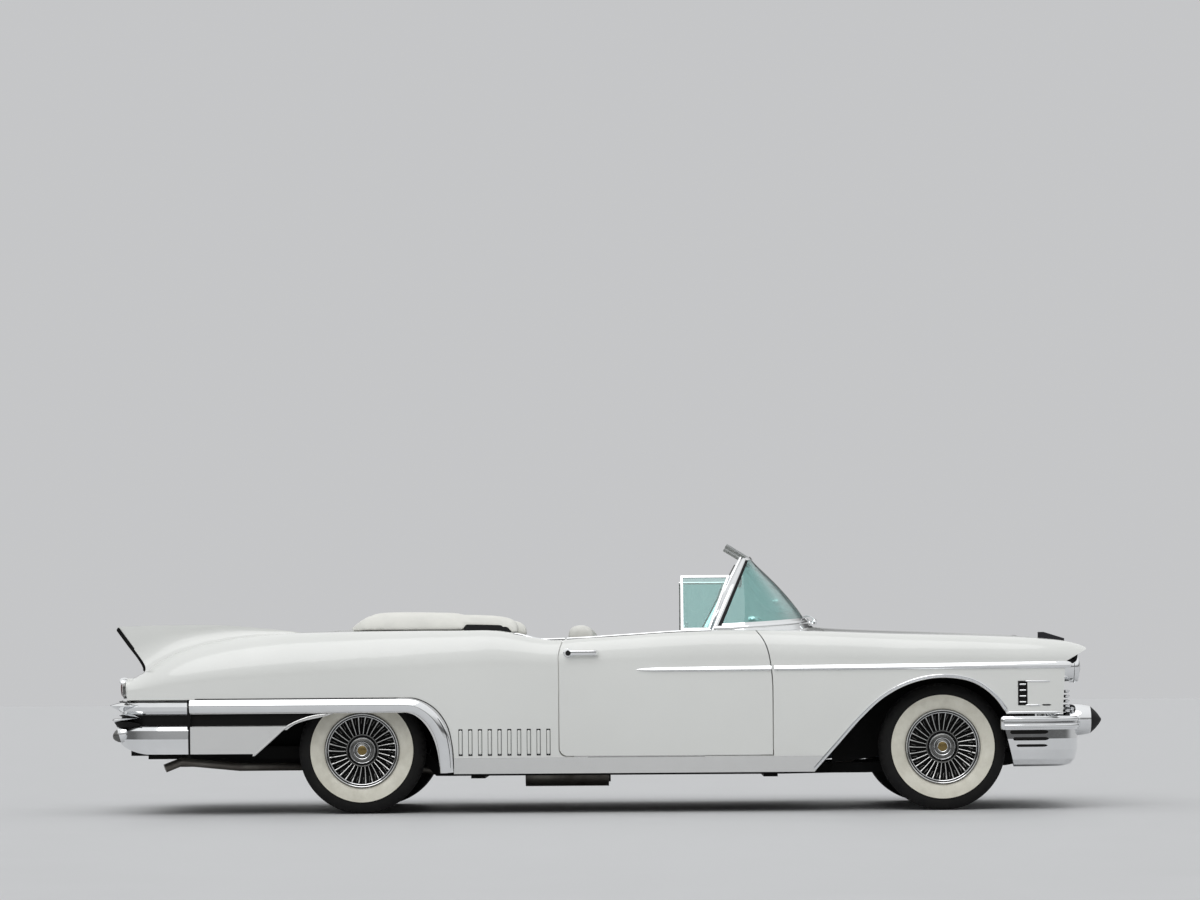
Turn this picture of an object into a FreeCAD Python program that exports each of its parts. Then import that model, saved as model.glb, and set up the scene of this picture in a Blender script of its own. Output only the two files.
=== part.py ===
"""A full-size 1950s two-door convertible with its top folded, in millimetres.

+X points to the nose, +Y to the car's left and +Z up. The origin is on the floor, midway along the
overall length. Every outer panel is cut from one body surface, so neighbouring panels line up.
"""
import FreeCAD
import Part
import math
import os

Vec = FreeCAD.Vector

# Overall car
overall_length = 5674.0
front_axle_x = 1905.0
wheelbase = 3289.0
rear_axle_x = front_axle_x - wheelbase
track = 1549.0
tyre_radius = 358.0
tyre_width = 206.0
kingpin_y = 655.0

# Body shell
skin = 14.0
seam = 6.0
half_seam = seam / 2
seat_gap = 0.4
nose_x = 2717.0
tail_x = -2717.0
sill_z = 313.0
tail_panel_thickness = 16.0

# Doors
door_front_x = 944.0
door_rear_x = -263.0
door_inner_y = 868.0
door_sill_z = 319.0

# Cabin and windshield
firewall_x = 1150.0
floor_z = 262.0
floor_thickness = 8.0
cabin_rear_x = -900.0

# Reach of the cutting boxes, past the car on every side
far_x = 3000.0
far_y = 1300.0
far_z = 1700.0

# Hood and trunk lid
hood_rear_x = 1246.0
hood_half_width = 780.0
lid_front_x = -1560.0
lid_rear_x = -2690.0

os.makedirs("parts", exist_ok=True)


def guide(points):
    """A smooth function through (x, value) points that never overshoots between them."""
    points = sorted(points)
    xs = [p[0] for p in points]
    ys = [p[1] for p in points]
    steps = [(ys[i + 1] - ys[i]) / (xs[i + 1] - xs[i]) for i in range(len(xs) - 1)]
    slopes = [steps[0]]
    for before, after in zip(steps, steps[1:]):
        slopes.append(0.0 if before * after <= 0 else 2 * before * after / (before + after))
    slopes.append(steps[-1])

    def value(x):
        x = min(max(x, xs[0]), xs[-1])
        i = max(k for k in range(len(xs) - 1) if x >= xs[k])
        span = xs[i + 1] - xs[i]
        t = (x - xs[i]) / span
        return (
            ys[i] * (1 + 2 * t) * (1 - t) ** 2
            + slopes[i] * span * t * (1 - t) ** 2
            + ys[i + 1] * t * t * (3 - 2 * t)
            + slopes[i + 1] * span * t * t * (t - 1)
        )

    return value


# Guide lines of the body surface, each as (distance along the car, height or half width)
shoulder_z = guide([
    (-2717, 772), (-2650, 800), (-2560, 862), (-2440, 925), (-2270, 975), (-2050, 1008), (-1700, 1029),
    (-1100, 1034), (-640, 1032), (-500, 1012), (-347, 980), (-180, 985), (100, 1001), (430, 1020),
    (700, 1026), (1100, 1018), (1580, 1000), (2100, 985), (2400, 971), (2560, 957), (2650, 940), (2717, 917),
])
shoulder_y = guide([
    (-2717, 745), (-2300, 785), (-1800, 830), (-1200, 872), (-500, 905), (0, 920), (900, 915),
    (1900, 890), (2500, 870), (2717, 850),
])
wide_y = guide([
    (-2717, 872), (-2640, 905), (-2500, 945), (-2300, 975), (-1900, 1000), (-1384, 1012), (-700, 1008),
    (0, 1003), (900, 1002), (1900, 1000), (2300, 990), (2550, 972), (2717, 938),
])
wide_z = guide([(-2717, 700), (-2300, 740), (-1400, 780), (-300, 805), (900, 815), (2717, 815)])
sill_y = guide([(-2717, 830), (-2300, 940), (-1400, 965), (-300, 962), (900, 962), (1900, 960), (2717, 905)])
centre_z = guide([
    (-2717, 706), (-2650, 752), (-2560, 812), (-2440, 876), (-2270, 938), (-2050, 988), (-1800, 1026),
    (-1492, 1054), (-1100, 1062), (-500, 1050), (300, 1046), (850, 1052), (1160, 1058), (1300, 1042),
    (1580, 1029), (2100, 1008), (2400, 990), (2600, 962), (2717, 925),
])
roundness = guide([(-2717, 2.0), (-1500, 2.1), (-300, 2.35), (900, 2.5), (2717, 2.6)])

lower_steps = 6
upper_steps = 9
deck_steps = 9
station_count = 35
section_bottom_z = 200.0


def right_section(x):
    """Half of the body's cross-section at x, from below the sill round the side to the top centre."""
    points = []
    top_y, top_z = shoulder_y(x), shoulder_z(x)
    side_y, side_z = wide_y(x), wide_z(x)
    low_y = sill_y(x)
    for i in range(lower_steps):
        t = i / lower_steps
        z = section_bottom_z + (side_z - section_bottom_z) * t
        points.append((side_y - (side_y - low_y) * (1 - t) ** 2, z))
    power = 2 / roundness(x)
    for i in range(upper_steps):
        angle = math.pi / 2 * i / upper_steps
        y = top_y + (side_y - top_y) * math.cos(angle) ** power
        points.append((y, side_z + (top_z - side_z) * math.sin(angle) ** power))
    for i in range(deck_steps + 1):
        t = i / deck_steps
        points.append((top_y * (1 - t), top_z + (centre_z(x) - top_z) * t * t * (3 - 2 * t)))
    return points


def section(x, inset):
    """The whole cross-section at x, moved inwards by inset, from the right sill to the left sill."""
    right = right_section(x)
    points = [(-y, z) for y, z in right] + [(y, z) for y, z in reversed(right[:-1])]
    moved = []
    last = len(points) - 1
    for i, (y, z) in enumerate(points):
        before, after = points[max(i - 1, 0)], points[min(i + 1, last)]
        dy, dz = after[0] - before[0], after[1] - before[1]
        size = math.hypot(dy, dz)
        moved.append(Vec(x, y + dz / size * inset, z - dy / size * inset))
    return moved


def body_volume(inset):
    """The closed volume inside the body surface, moved inwards by inset."""
    rows = []
    for i in range(station_count):
        rows.append(section(tail_x + (nose_x - tail_x) * i / (station_count - 1), inset))
    if inset > 0:
        rows.insert(0, [a + (a - b) * 0.2 for a, b in zip(rows[0], rows[1])])
        rows.append([a + (a - b) * 0.2 for a, b in zip(rows[-1], rows[-2])])
    surface = Part.BSplineSurface()
    surface.interpolate(rows)
    face = surface.toShape()
    u0, u1, v0, v1 = surface.bounds()
    right_edge = surface.vIso(v0).toShape()
    left_edge = surface.vIso(v1).toShape()
    bottom = Part.makeRuledSurface(right_edge, left_edge)
    caps = []
    for u in (u0, u1):
        curve = surface.uIso(u).toShape()
        chord = Part.makeLine(curve.Vertexes[0].Point, curve.Vertexes[-1].Point)
        caps.append(Part.Face(Part.Wire([curve, chord])))
    shell = Part.makeShell([face, bottom] + caps)
    shell.sewShape()
    solid = Part.makeSolid(shell)
    if solid.Volume < 0:
        solid.reverse()
    return solid


def box(x0, x1, y0, y1, z0, z1):
    """A box between two corners, given as ranges."""
    return Part.makeBox(x1 - x0, y1 - y0, z1 - z0, Vec(x0, y0, z0))


def cylinder_y(x, z, radius, y0, y1):
    """A cylinder along Y."""
    return Part.makeCylinder(radius, y1 - y0, Vec(x, y0, z), Vec(0, 1, 0))


def cylinder_z(x, y, radius, z0, z1):
    """A cylinder along Z."""
    return Part.makeCylinder(radius, z1 - z0, Vec(x, y, z0), Vec(0, 0, 1))


def rod(start, end, radius):
    """A round bar between two points."""
    along = Vec(*end) - Vec(*start)
    return Part.makeCylinder(radius, along.Length, Vec(*start), along)


def mirrored(shape):
    """The same piece on the other side of the car."""
    return shape.mirror(Vec(0, 0, 0), Vec(0, 1, 0))


def both(shape):
    """A right-hand piece and its left-hand twin."""
    return Part.makeCompound([shape, mirrored(shape)])


def spline(points, start=None, end=None):
    """A smooth edge through points, with its directions at the two ends where they matter."""
    curve = Part.BSplineCurve()
    if start is None or end is None:
        curve.interpolate(Points=points)
    else:
        curve.interpolate(Points=points, InitialTangent=start, FinalTangent=end)
    return curve.toShape()


def outline(start, steps, place):
    """A closed wire from a start point and steps: a point for a line, a list of points for a curve."""
    edges = []
    here = start
    for step in steps:
        if isinstance(step, list):
            edges.append(spline([place(p) for p in [here] + step]))
            here = step[-1]
        else:
            edges.append(Part.makeLine(place(here), place(step)))
            here = step
    if here != start:
        edges.append(Part.makeLine(place(here), place(start)))
    return Part.Wire(edges)


def side_prism(start, steps, y0=-1400.0, y1=1400.0):
    """A side-view outline of (x, z) points carried across the car from y0 to y1."""
    wire = outline(start, steps, lambda p: Vec(p[0], y0, p[1]))
    return Part.Face(wire).extrude(Vec(0, y1 - y0, 0))


def plan_prism(start, steps, z0=-100.0, z1=far_z):
    """A plan-view outline of (x, y) points carried up from z0 to z1."""
    wire = outline(start, steps, lambda p: Vec(p[0], p[1], z0))
    return Part.Face(wire).extrude(Vec(0, 0, z1 - z0))


def thick_sheet(outer_rows, inner_rows):
    """The closed solid between two surfaces that share the same grid."""
    surfaces = []
    for rows in (outer_rows, inner_rows):
        surface = Part.BSplineSurface()
        surface.interpolate(rows)
        surfaces.append(surface)
    outer, inner = surfaces
    faces = [outer.toShape(), inner.toShape()]
    u0, u1, v0, v1 = outer.bounds()
    a0, a1, b0, b1 = inner.bounds()
    for u, a in ((u0, a0), (u1, a1)):
        faces.append(Part.makeRuledSurface(outer.uIso(u).toShape(), inner.uIso(a).toShape()))
    for v, b in ((v0, b0), (v1, b1)):
        faces.append(Part.makeRuledSurface(outer.vIso(v).toShape(), inner.vIso(b).toShape()))
    return closed_solid(faces)


def closed_solid(faces):
    """Sews faces into one solid that faces outwards."""
    shell = Part.makeShell(faces)
    shell.sewShape()
    solid = Part.makeSolid(shell)
    if solid.Volume < 0:
        solid.reverse()
    return solid


def turned_x(points, y, z):
    """A solid turned round a line along X at (y, z) from (radius, x) points; lists are smooth curves."""
    wire = outline(points[0], points[1:], lambda p: Vec(p[1], y + p[0], z))
    return Part.Face(wire).revolve(Vec(0, y, z), Vec(1, 0, 0), 360)


def swept(path_points, profile_points):
    """A closed profile of (across, up) points carried along a smooth level path of (x, y, z) points."""
    path = Part.Wire([spline([Vec(*p) for p in path_points])])
    first = path.Edges[0]
    start = first.valueAt(first.FirstParameter)
    along = first.tangentAt(first.FirstParameter)
    across = along.cross(Vec(0, 0, 1)).normalize()
    corners = [start + across * a + Vec(0, 0, up) for a, up in profile_points]
    profile = Part.makePolygon(corners + [corners[0]])
    return path.makePipeShell([profile], True, False)


def joined(*shapes):
    """Shapes fused into one, with the seams between them taken out."""
    first, rest = shapes[0], list(shapes[1:])
    return first.fuse(rest).removeSplitter()


def save(name, shape):
    """Writes one piece, and stops if it isn't closed and valid."""
    solids = [s for s in shape.Solids if s.Volume > 1.0]
    if not solids:
        raise ValueError(name + " is empty")
    for solid in solids:
        if not solid.isValid():
            print("not valid:", name)
    kept = solids[0] if len(solids) == 1 else Part.makeCompound(solids)
    kept.exportStep("parts/" + name + ".step")
    print(name, len(solids), round(sum(s.Volume for s in solids) / 1e6, 2), "litres")


def surface_height(x, y):
    """Height of the body surface above a point, for y between the centre and the widest line."""
    points = right_section(x)[lower_steps:]
    depth = abs(y)
    for (y0, z0), (y1, z1) in zip(points, points[1:]):
        if y1 <= depth <= y0:
            return z0 + (z1 - z0) * (y0 - depth) / max(y0 - y1, 1e-6)
    return points[0][1]


def side_y(x, z):
    """Half width of the body surface at a height on its side."""
    points = right_section(x)[:lower_steps + upper_steps]
    for (y0, z0), (y1, z1) in zip(points, points[1:]):
        if z0 <= z <= z1:
            return y0 + (y1 - y0) * (z - z0) / max(z1 - z0, 1e-6)
    return points[-1][0]


def largest(shape):
    """The main solid of a cut, without slivers."""
    return max(shape.Solids, key=lambda s: s.Volume)


# Body volumes that the panels, trims and seats share
outer = body_volume(0)
inner = body_volume(skin)
inside_gap = body_volume(skin + seat_gap)
outside_gap = body_volume(-seat_gap)
shell = outer.cut(inner)


# Side outlines shared by the panels that meet there
def door_outline(grow):
    """The door's edge in side view, as a start and steps, grown outwards by grow."""
    front, rear, low = door_front_x + grow, door_rear_x - grow, door_sill_z - grow
    corner = 45.0
    start = (front, low)
    steps = [
        (front, 700.0),
        [(front - 4, 770.0), (front - 14, 850.0), (front - 41, 949.0), (front - 92, 1022.0), (front - 170, 1090.0)],
        (rear + 78, 1090.0),
        [(rear + 40, 1003.0), (rear + 12, 940.0), (rear, 850.0)],
        (rear, low + corner),
        [(rear + corner * 0.293, low + corner * 0.293), (rear + corner, low)],
    ]
    return start, steps


arch_rear_foot = (1122.0, 165.0)
arch_rear_top = (1442.0, 524.0)
arch_crown = [(1574.0, 641.0), (1700.0, 708.0), (1905.0, 747.0), (2085.0, 712.0), (2195.0, 628.0), (2258.0, 541.0)]
fender_low_z = 541.0


def front_arch():
    """The front wheel opening and the space under the fender ahead of it."""
    start = (arch_rear_foot[0] - 58, arch_rear_foot[1] - 65)
    return start, [arch_rear_foot, arch_rear_top, arch_crown, (2900.0, fender_low_z), (2900.0, start[1])]


nose_face = [(2576.0, 541.0), (2593.0, 823.0), (2603.0, 838.0), (2717.0, 902.0)]
nose_cut = ((2576.0, 100.0), nose_face + [(2800.0, 946.0), (2900.0, 946.0), (2900.0, 100.0)])

band_top_z = 652.0
band_low_z = 572.0
arch_outer = [(-1060.0, 645.0), (-965.0, 592.0), (-898.0, 500.0), (-868.0, 380.0), (-860.0, 233.0)]
arch_inner = [(-1075.0, 557.0), (-1020.0, 510.0), (-968.0, 420.0), (-940.0, 300.0), (-934.0, 233.0)]
band_start_x = -1180.0


def quarter_cut():
    """Everything below the quarter panel's lower edge, in side view."""
    start = (-far_x, band_top_z)
    return start, [(band_start_x, band_top_z), arch_outer, (-860.0, 100.0), (-far_x, 100.0)]


def hood_plan(grow):
    """The hood's edge from above."""
    w = hood_half_width + grow
    rear = hood_rear_x - grow
    return (rear, -w), [(2900.0, -w), (2900.0, w), (rear, w)]


lid_front_half = 690.0
lid_rear_half = 610.0


def lid_plan(grow):
    """The trunk lid's edge from above, narrower at the tail than behind the top."""
    front, rear = lid_front_x + grow, lid_rear_x - grow
    wide, narrow = lid_front_half + grow, lid_rear_half + grow
    return (front, -wide), [(rear, -narrow), (rear, narrow), (front, wide)]


# The cowl reaches back over the doors in two arms that carry the ends of the windshield
cowl_half = 862.0
cowl_arm_x = 560.0
cowl_step_x = 1060.0
cowl_inner = [(760.0, 795.0), (920.0, 745.0), (1030.0, 600.0), (1095.0, 380.0), (1118.0, 0.0)]


def cowl_plan(grow):
    """The cowl's edge from above, grown outwards by grow on the sides it shares with the fenders."""
    rear, w, arm = hood_rear_x - half_seam, hood_half_width + grow, cowl_half + grow
    inner_edge = [(x, -y) for x, y in cowl_inner] + [(x, y) for x, y in reversed(cowl_inner[:-1])]
    inner_edge.append((cowl_arm_x, 808.0))
    return (rear, -w), [(cowl_step_x, -w), (cowl_step_x, -arm), (cowl_arm_x, -arm), (cowl_arm_x, -808.0),
                        inner_edge, (cowl_arm_x, arm), (cowl_step_x, arm), (cowl_step_x, w), (rear, w)]


# Fins: a thin blade on each rear fender, faired in at its foot
fin_front_x = -1650.0
fin_tip_x = -2800.0
fin_top_z = guide([(fin_tip_x, 1071), (-2500, 1078), (-2285, 1078), (-2031, 1064), (-1865, 1047),
                   (-1760, 1034), (fin_front_x, 1016)])
fin_y = guide([(fin_tip_x, 742), (fin_front_x, 812)])
fin_half_tip = 6.0
fin_flare = 62.0


def fin_section(x):
    """The fin's closed section at x."""
    centre, top = fin_y(x), fin_top_z(x)
    at = max(x, tail_x)
    sides = []
    for side in (1, -1):
        foot_y = centre + side * (fin_half_tip + fin_flare)
        foot_z = min(surface_height(at, foot_y), top) - 12
        flare = []
        for i in range(7):
            t = i / 6
            y = centre + side * (fin_half_tip + fin_flare * (1 - t) ** 2.6)
            flare.append(Vec(x, -y, foot_z + (top - foot_z) * t ** 1.25))
        sides.append(flare)
    right, left = sides
    edges = [
        spline(right),
        Part.makeLine(right[-1], left[-1]),
        spline(list(reversed(left))),
        Part.makeLine(left[0], right[0]),
    ]
    return Part.Wire(edges)


fin_trailing = ((-2900.0, 1200.0), [(-2787.0, 1200.0), (-2787.0, 1069.0), (-2646.0, 880.0),
                                    [(-2628.0, 850.0), (-2622.0, 826.0), (-2630.0, 806.0)],
                                    (-2660.0, 790.0), (-2690.0, 600.0), (-2900.0, 600.0)])


def make_fin():
    """The right fin, cut to its raked trailing edge."""
    stations = (fin_tip_x, -2700, -2600, -2450, -2285, -2050, -1865, -1750, fin_front_x)
    fin = Part.makeLoft([fin_section(x) for x in stations], True, False)
    return fin.cut(side_prism(*fin_trailing))


# Front fenders, outboard of the hood and ahead of the doors
door_gap = side_prism(*door_outline(half_seam))
nose = side_prism(*nose_cut)
below_sill = box(-far_x, far_x, -far_y, far_y, 0, sill_z)
hood_gap = plan_prism(*hood_plan(half_seam))
fender = shell.common(box(cowl_arm_x, nose_x, -far_y, -hood_half_width, 0, far_z))
fender = fender.cut([door_gap, side_prism(*front_arch()), nose, below_sill, hood_gap])
fender = fender.cut([plan_prism(*cowl_plan(seat_gap)), box(0, cowl_step_x, -cowl_half - seat_gap, 900, 300, far_z)])
fender_right = largest(fender)
save("front_fender_right", fender_right)
save("front_fender_left", mirrored(fender_right))

# Hood and trunk lid
hood = largest(shell.common(plan_prism(*hood_plan(-half_seam), z0=600)).cut(nose))
save("hood", hood)
lid = largest(shell.common(plan_prism(*lid_plan(-half_seam), z0=600)))
save("trunk_lid", lid)

# Rear quarters, with the thick wall beside the rear seat, the fin, the tail lamp's pod and ten louvres
deck_half = 790.0
deck_front_x = -520.0
pod_y = 800.0
pod_z = 719.0
pod_radius = 57.0
pod_rear_x = -2746.0
pod_front_x = -2631.0
lens_depth = 14.0
louvre_count = 10
louvre_first_x = -818.0
louvre_pitch = 55.0
louvre_low_z = 331.0
louvre_high_z = 471.0
louvre_width = 17.0
lid_gap = plan_prism(*lid_plan(half_seam))
well = box(lid_front_x, deck_front_x, -deck_half, deck_half, 300, far_z)
cabin = box(deck_front_x - 1, 500, -door_inner_y, door_inner_y, 300, far_z)
wall = outer.common(box(cabin_rear_x, -100, -far_y, -door_inner_y, sill_z, far_z))
tail_plate = outer.common(box(tail_x, tail_x + tail_panel_thickness, -far_y, -lid_rear_half, band_top_z, far_z))
quarter = shell.common(box(tail_x, -100, -far_y, -500, 0, far_z)).fuse([wall, tail_plate])
behind_lid = box(tail_x - 1, lid_rear_x, -lid_rear_half, 0, 300, far_z)
quarter = quarter.cut([door_gap, side_prism(*quarter_cut()), below_sill, lid_gap, well, cabin, behind_lid])
quarter = largest(quarter)
pod = Part.makeCylinder(pod_radius, pod_front_x - pod_rear_x, Vec(pod_rear_x, -pod_y, pod_z), Vec(1, 0, 0))
additions = [make_fin().cut(inner), pod]
for i in range(louvre_count):
    x = louvre_first_x + louvre_pitch * i
    face = side_y(x, louvre_high_z)
    low_face = side_y(x, louvre_low_z)
    corners = [(-low_face + 6, louvre_low_z), (-low_face - 5, louvre_low_z + 6), (-face - 5, louvre_high_z - 6),
               (-face + 6, louvre_high_z)]
    wire = Part.makePolygon([Vec(x - louvre_width / 2, y, z) for y, z in corners + corners[:1]])
    additions.append(Part.Face(wire).extrude(Vec(louvre_width, 0, 0)))
quarter_right = largest(quarter.fuse(additions))
save("rear_quarter_right", quarter_right)
save("rear_quarter_left", mirrored(quarter_right))

# Deck round the top's well, and the panel across the tail
cabin_tub_half = 640.0
deck = shell.common(box(lid_front_x + half_seam, deck_front_x, -deck_half + seat_gap, deck_half - seat_gap, 600, far_z))
deck = largest(deck.cut(box(cabin_rear_x, 0, -cabin_tub_half, cabin_tub_half, 0, far_z)))
save("rear_deck", deck)
tail_half = lid_rear_half - seat_gap
tail_panel = outer.common(box(tail_x, tail_x + tail_panel_thickness, -tail_half, tail_half, 500, far_z))
lid_ledge = inside_gap.common(box(tail_x + 1, lid_rear_x + 40, -lid_rear_half + 60, lid_rear_half - 60, 600, far_z))
lid_ledge = lid_ledge.cut(body_volume(skin + 14))
tail_panel = largest(tail_panel.fuse(lid_ledge))
save("tail_panel", tail_panel)

# Cowl panel, firewall, hinge pillars and windshield arms as one piece
cowl_top = largest(shell.common(plan_prism(*cowl_plan(0), z0=600)))
firewall_thickness = 14.0
firewall_half = door_inner_y - 16
firewall_low_z = floor_z + 60
firewall = inner.common(box(firewall_x, firewall_x + firewall_thickness, -firewall_half, firewall_half,
                            firewall_low_z, far_z))
cowl_parts = [cowl_top, firewall]
arm = inner.common(box(cowl_arm_x, 1010, -firewall_half, -815, 950, 1100))
closing = inner.common(box(door_front_x + 12, firewall_x + 2, -firewall_half, -firewall_half + skin, sill_z, 1100))
for piece in (arm, closing):
    cowl_parts += [piece, mirrored(piece)]
save("cowl", joined(*cowl_parts))

# Doors, as thick as the whole door, with their handles
door = largest(outer.common(side_prism(*door_outline(-half_seam), y0=-1400.0, y1=-door_inner_y)))
handle_rear_x = -222.0
handle_front_x = -40.0
handle_low_z = 888.0
handle_high_z = 914.0
handle_foot = 28.0
handle_y = side_y((handle_rear_x + handle_front_x) / 2, (handle_low_z + handle_high_z) / 2)
handle = box(handle_rear_x, handle_front_x, -handle_y - 26, -handle_y - 14, handle_low_z, handle_high_z)
handle_feet = [box(x, x + handle_foot, -handle_y - 20, -handle_y + 12, handle_low_z + 2, handle_high_z - 2)
               for x in (handle_rear_x + 4, handle_front_x - 4 - handle_foot)]
door_right = largest(door.fuse([handle] + handle_feet))
save("door_right", door_right)
save("door_left", mirrored(door_right))

# Floor pan: front floor, seat bulkhead, cabin's rear sides and trunk floor
door_side_gap = door_inner_y - seat_gap
trunk_floor_z = 520.0
rocker_low_z = 224.0
rocker_rear_x = -857.0
rocker_front_x = 1264.0
floor_top = floor_z + floor_thickness
trunk_half = 600.0
front_floor = box(cabin_rear_x, firewall_x, -door_side_gap, door_side_gap, floor_z, floor_top)
toe_board = box(firewall_x - floor_thickness, firewall_x, -830, 830, floor_z, firewall_low_z - seat_gap)
bulkhead = box(cabin_rear_x - floor_thickness, cabin_rear_x, -door_side_gap, door_side_gap, floor_z, 1100)
side_tub = box(cabin_rear_x, -500, -cabin_tub_half - floor_thickness, -cabin_tub_half, floor_z, 1100)
trunk_floor = box(lid_rear_x + 30, cabin_rear_x, -trunk_half, trunk_half, trunk_floor_z,
                  trunk_floor_z + floor_thickness)
inner_space = inside_gap.common(box(-far_x, far_x, -far_y, far_y, floor_z, far_z))
tub = joined(bulkhead, side_tub, mirrored(side_tub)).common(inner_space)

# Wheelhouses over the rear wheels, part of the floor pan
wheelhouse_radius = 428.0
recess_depth = 22.0
wheelhouse_wall = 8.0
wheelhouse_z = tyre_radius + 40
house_outer = cylinder_y(rear_axle_x, wheelhouse_z, wheelhouse_radius + wheelhouse_wall, -1100, -trunk_half + 2)
house_inner = cylinder_y(rear_axle_x, wheelhouse_z, wheelhouse_radius, -1200, -trunk_half - wheelhouse_wall)
house_limit = body_volume(recess_depth + 14)
house = house_outer.cut([house_inner, box(-far_x, 0, -far_y, 0, 0, trunk_floor_z)]).common(house_limit)
house = house.cut([box(-1180, cabin_rear_x, -far_y, 0, 0, band_top_z + 60), wall])
house = largest(house)
floor_pan = joined(front_floor, toe_board, tub, trunk_floor, house, mirrored(house))
save("floor_pan", floor_pan)

# Rocker panels under the doors
rocker_low = box(rocker_rear_x, rocker_front_x, -far_y, -door_inner_y, rocker_low_z, sill_z - seat_gap)
lip_z = door_sill_z + 24
sill_lip = joined(box(-180, 880, -door_inner_y - 8, -door_inner_y + 12, rocker_low_z + 66, sill_z - seat_gap),
                  box(-180, 880, -door_side_gap, -door_inner_y + 12, rocker_low_z + 66, lip_z))
rocker = largest(outer.common(rocker_low).cut(side_prism(*front_arch())).fuse(sill_lip))
save("rocker_panels", both(rocker))

# Chassis frame: two kicked-up side rails and crossmembers
rail_front_y = 400.0
rail_mid_y = 560.0
rail_rear_y = 510.0
rail_width = 60.0
rail_front_x = 2560.0
rail_rear_x = -2640.0
frame_low_z = 204.0
frame_top_z = floor_z - seat_gap
rail_side = side_prism((rail_front_x, 290.0), [
    (2300.0, 240.0), (1500.0, frame_low_z), (-980.0, frame_low_z), (-1180.0, 420.0), (-1580.0, 420.0),
    (-1760.0, 310.0), (rail_rear_x, 310.0), (rail_rear_x, 380.0), (-1730.0, 380.0), (-1560.0, 480.0),
    (-1200.0, 480.0), (-950.0, frame_top_z), (1500.0, frame_top_z), (2300.0, 310.0), (rail_front_x, 360.0)])
w = rail_width / 2
rail_plan = plan_prism((rail_front_x, -rail_front_y - w), [
    (rail_front_x, -rail_front_y + w), (1300.0, -rail_front_y + w), (1020.0, -rail_mid_y + w),
    (-900.0, -rail_mid_y + w), (-1150.0, -rail_rear_y + w), (rail_rear_x, -rail_rear_y + w),
    (rail_rear_x, -rail_rear_y - w), (-1150.0, -rail_rear_y - w), (-900.0, -rail_mid_y - w),
    (1020.0, -rail_mid_y - w), (1300.0, -rail_front_y - w)])
rail = largest(rail_side.common(rail_plan))
radiator_seat_z = 330.0
engine_seat_z = 290.0
pipe_radius = 24.0
pipe_hole_gap = 2.0
pipe_mid_y = 430.0
pipe_mid_z = 230.0
cross_low_z = 188.0
pipe_over_z = 262.0
radiator_x = 2400.0
cross_width = 80.0
cross_mid_x = 940.0
cross_rear_x = -740.0


def crossmember(x, width, half_length, low_z, high_z):
    """A beam across the frame, centred at x."""
    return box(x - width / 2, x + width / 2, -half_length, half_length, low_z, high_z)


cross_front = crossmember(radiator_x, cross_width, rail_front_y, 250, radiator_seat_z)
cross_axle = crossmember(front_axle_x, 100, rail_front_y, 230, engine_seat_z)
cross_mid = crossmember(cross_mid_x, cross_width, rail_mid_y, cross_low_z, frame_top_z)
cross_rear = crossmember(cross_rear_x, cross_width, rail_mid_y, cross_low_z, frame_top_z)
cross_tail = crossmember(rail_rear_x + rail_width / 2, rail_width, rail_rear_y, 310, 380)
pipe_bend_x = 1000.0
pipe_hole = rod((-1000, -pipe_mid_y, pipe_mid_z), (pipe_bend_x, -pipe_mid_y, pipe_mid_z), pipe_radius + pipe_hole_gap)
rocker_bracket = box(-60, 0, -door_inner_y + seat_gap, -rail_mid_y, frame_low_z + 30, frame_top_z)
rocker_bracket_front = rocker_bracket.translated(Vec(860, 0, 0))
rocker_bracket_rear = rocker_bracket.translated(Vec(-780, 0, 0))
trunk_post = box(-2560, -2500, -rail_rear_y - w, -rail_rear_y + w, 370, trunk_floor_z - seat_gap)
trunk_post_mid = box(-1420, -1340, -rail_rear_y - w, -rail_rear_y + w, 470, trunk_floor_z - seat_gap)
iron_rear_x = -2740.0
iron_front_x = 2640.0
iron_half = 20.0
iron_front_low_z = 300.0
iron_front_high_z = 350.0
bumper_iron_rear = box(iron_rear_x, rail_rear_x + 10, -rail_rear_y - iron_half, -rail_rear_y + iron_half, 330, 370)
bumper_iron_front = box(rail_front_x - 10, iron_front_x, -rail_front_y - iron_half, -rail_front_y + iron_half,
                        iron_front_low_z, iron_front_high_z)
sides = [rail, rocker_bracket, rocker_bracket_front, rocker_bracket_rear, trunk_post, trunk_post_mid,
         bumper_iron_rear, bumper_iron_front]
crossmembers = [cross_front, cross_axle, cross_mid, cross_rear, cross_tail]
frame = joined(*(crossmembers + sides + [mirrored(s) for s in sides]))
hitch_spacing_y = 120.0
hitch_spacing_z = 36.0
hitch_hole_radius = 6.5
hitch_z = 345.0
holes = []
for across in (-hitch_spacing_y / 2, hitch_spacing_y / 2):
    for z in (hitch_z - hitch_spacing_z / 2, hitch_z + hitch_spacing_z / 2):
        holes.append(rod((rail_rear_x - 10, across, z), (rail_rear_x + 70, across, z), hitch_hole_radius))
frame = frame.cut([pipe_hole, mirrored(pipe_hole)] + holes)
save("chassis_frame", frame)

# Engine block, radiator and fuel tank
engine_half = 280.0
engine = box(1250, 1980, -engine_half, engine_half, engine_seat_z + seat_gap, 860)
save("engine_block", engine)
radiator = crossmember(radiator_x, 60, 360, radiator_seat_z + seat_gap, 840)
save("radiator", radiator)
tank = box(-2480, -1760, -400, 400, 262, trunk_floor_z - seat_gap)
save("fuel_tank", tank)

# Exhaust: a pipe, a silencer and a tailpipe on each side, passing under the rear axle
def pipe(points, radius):
    """A bent pipe as straight lengths with round joints."""
    parts = [rod(a, b, radius) for a, b in zip(points, points[1:])]
    parts += [Part.makeSphere(radius, Vec(*p)) for p in points[1:-1]]
    return joined(*parts)


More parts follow.
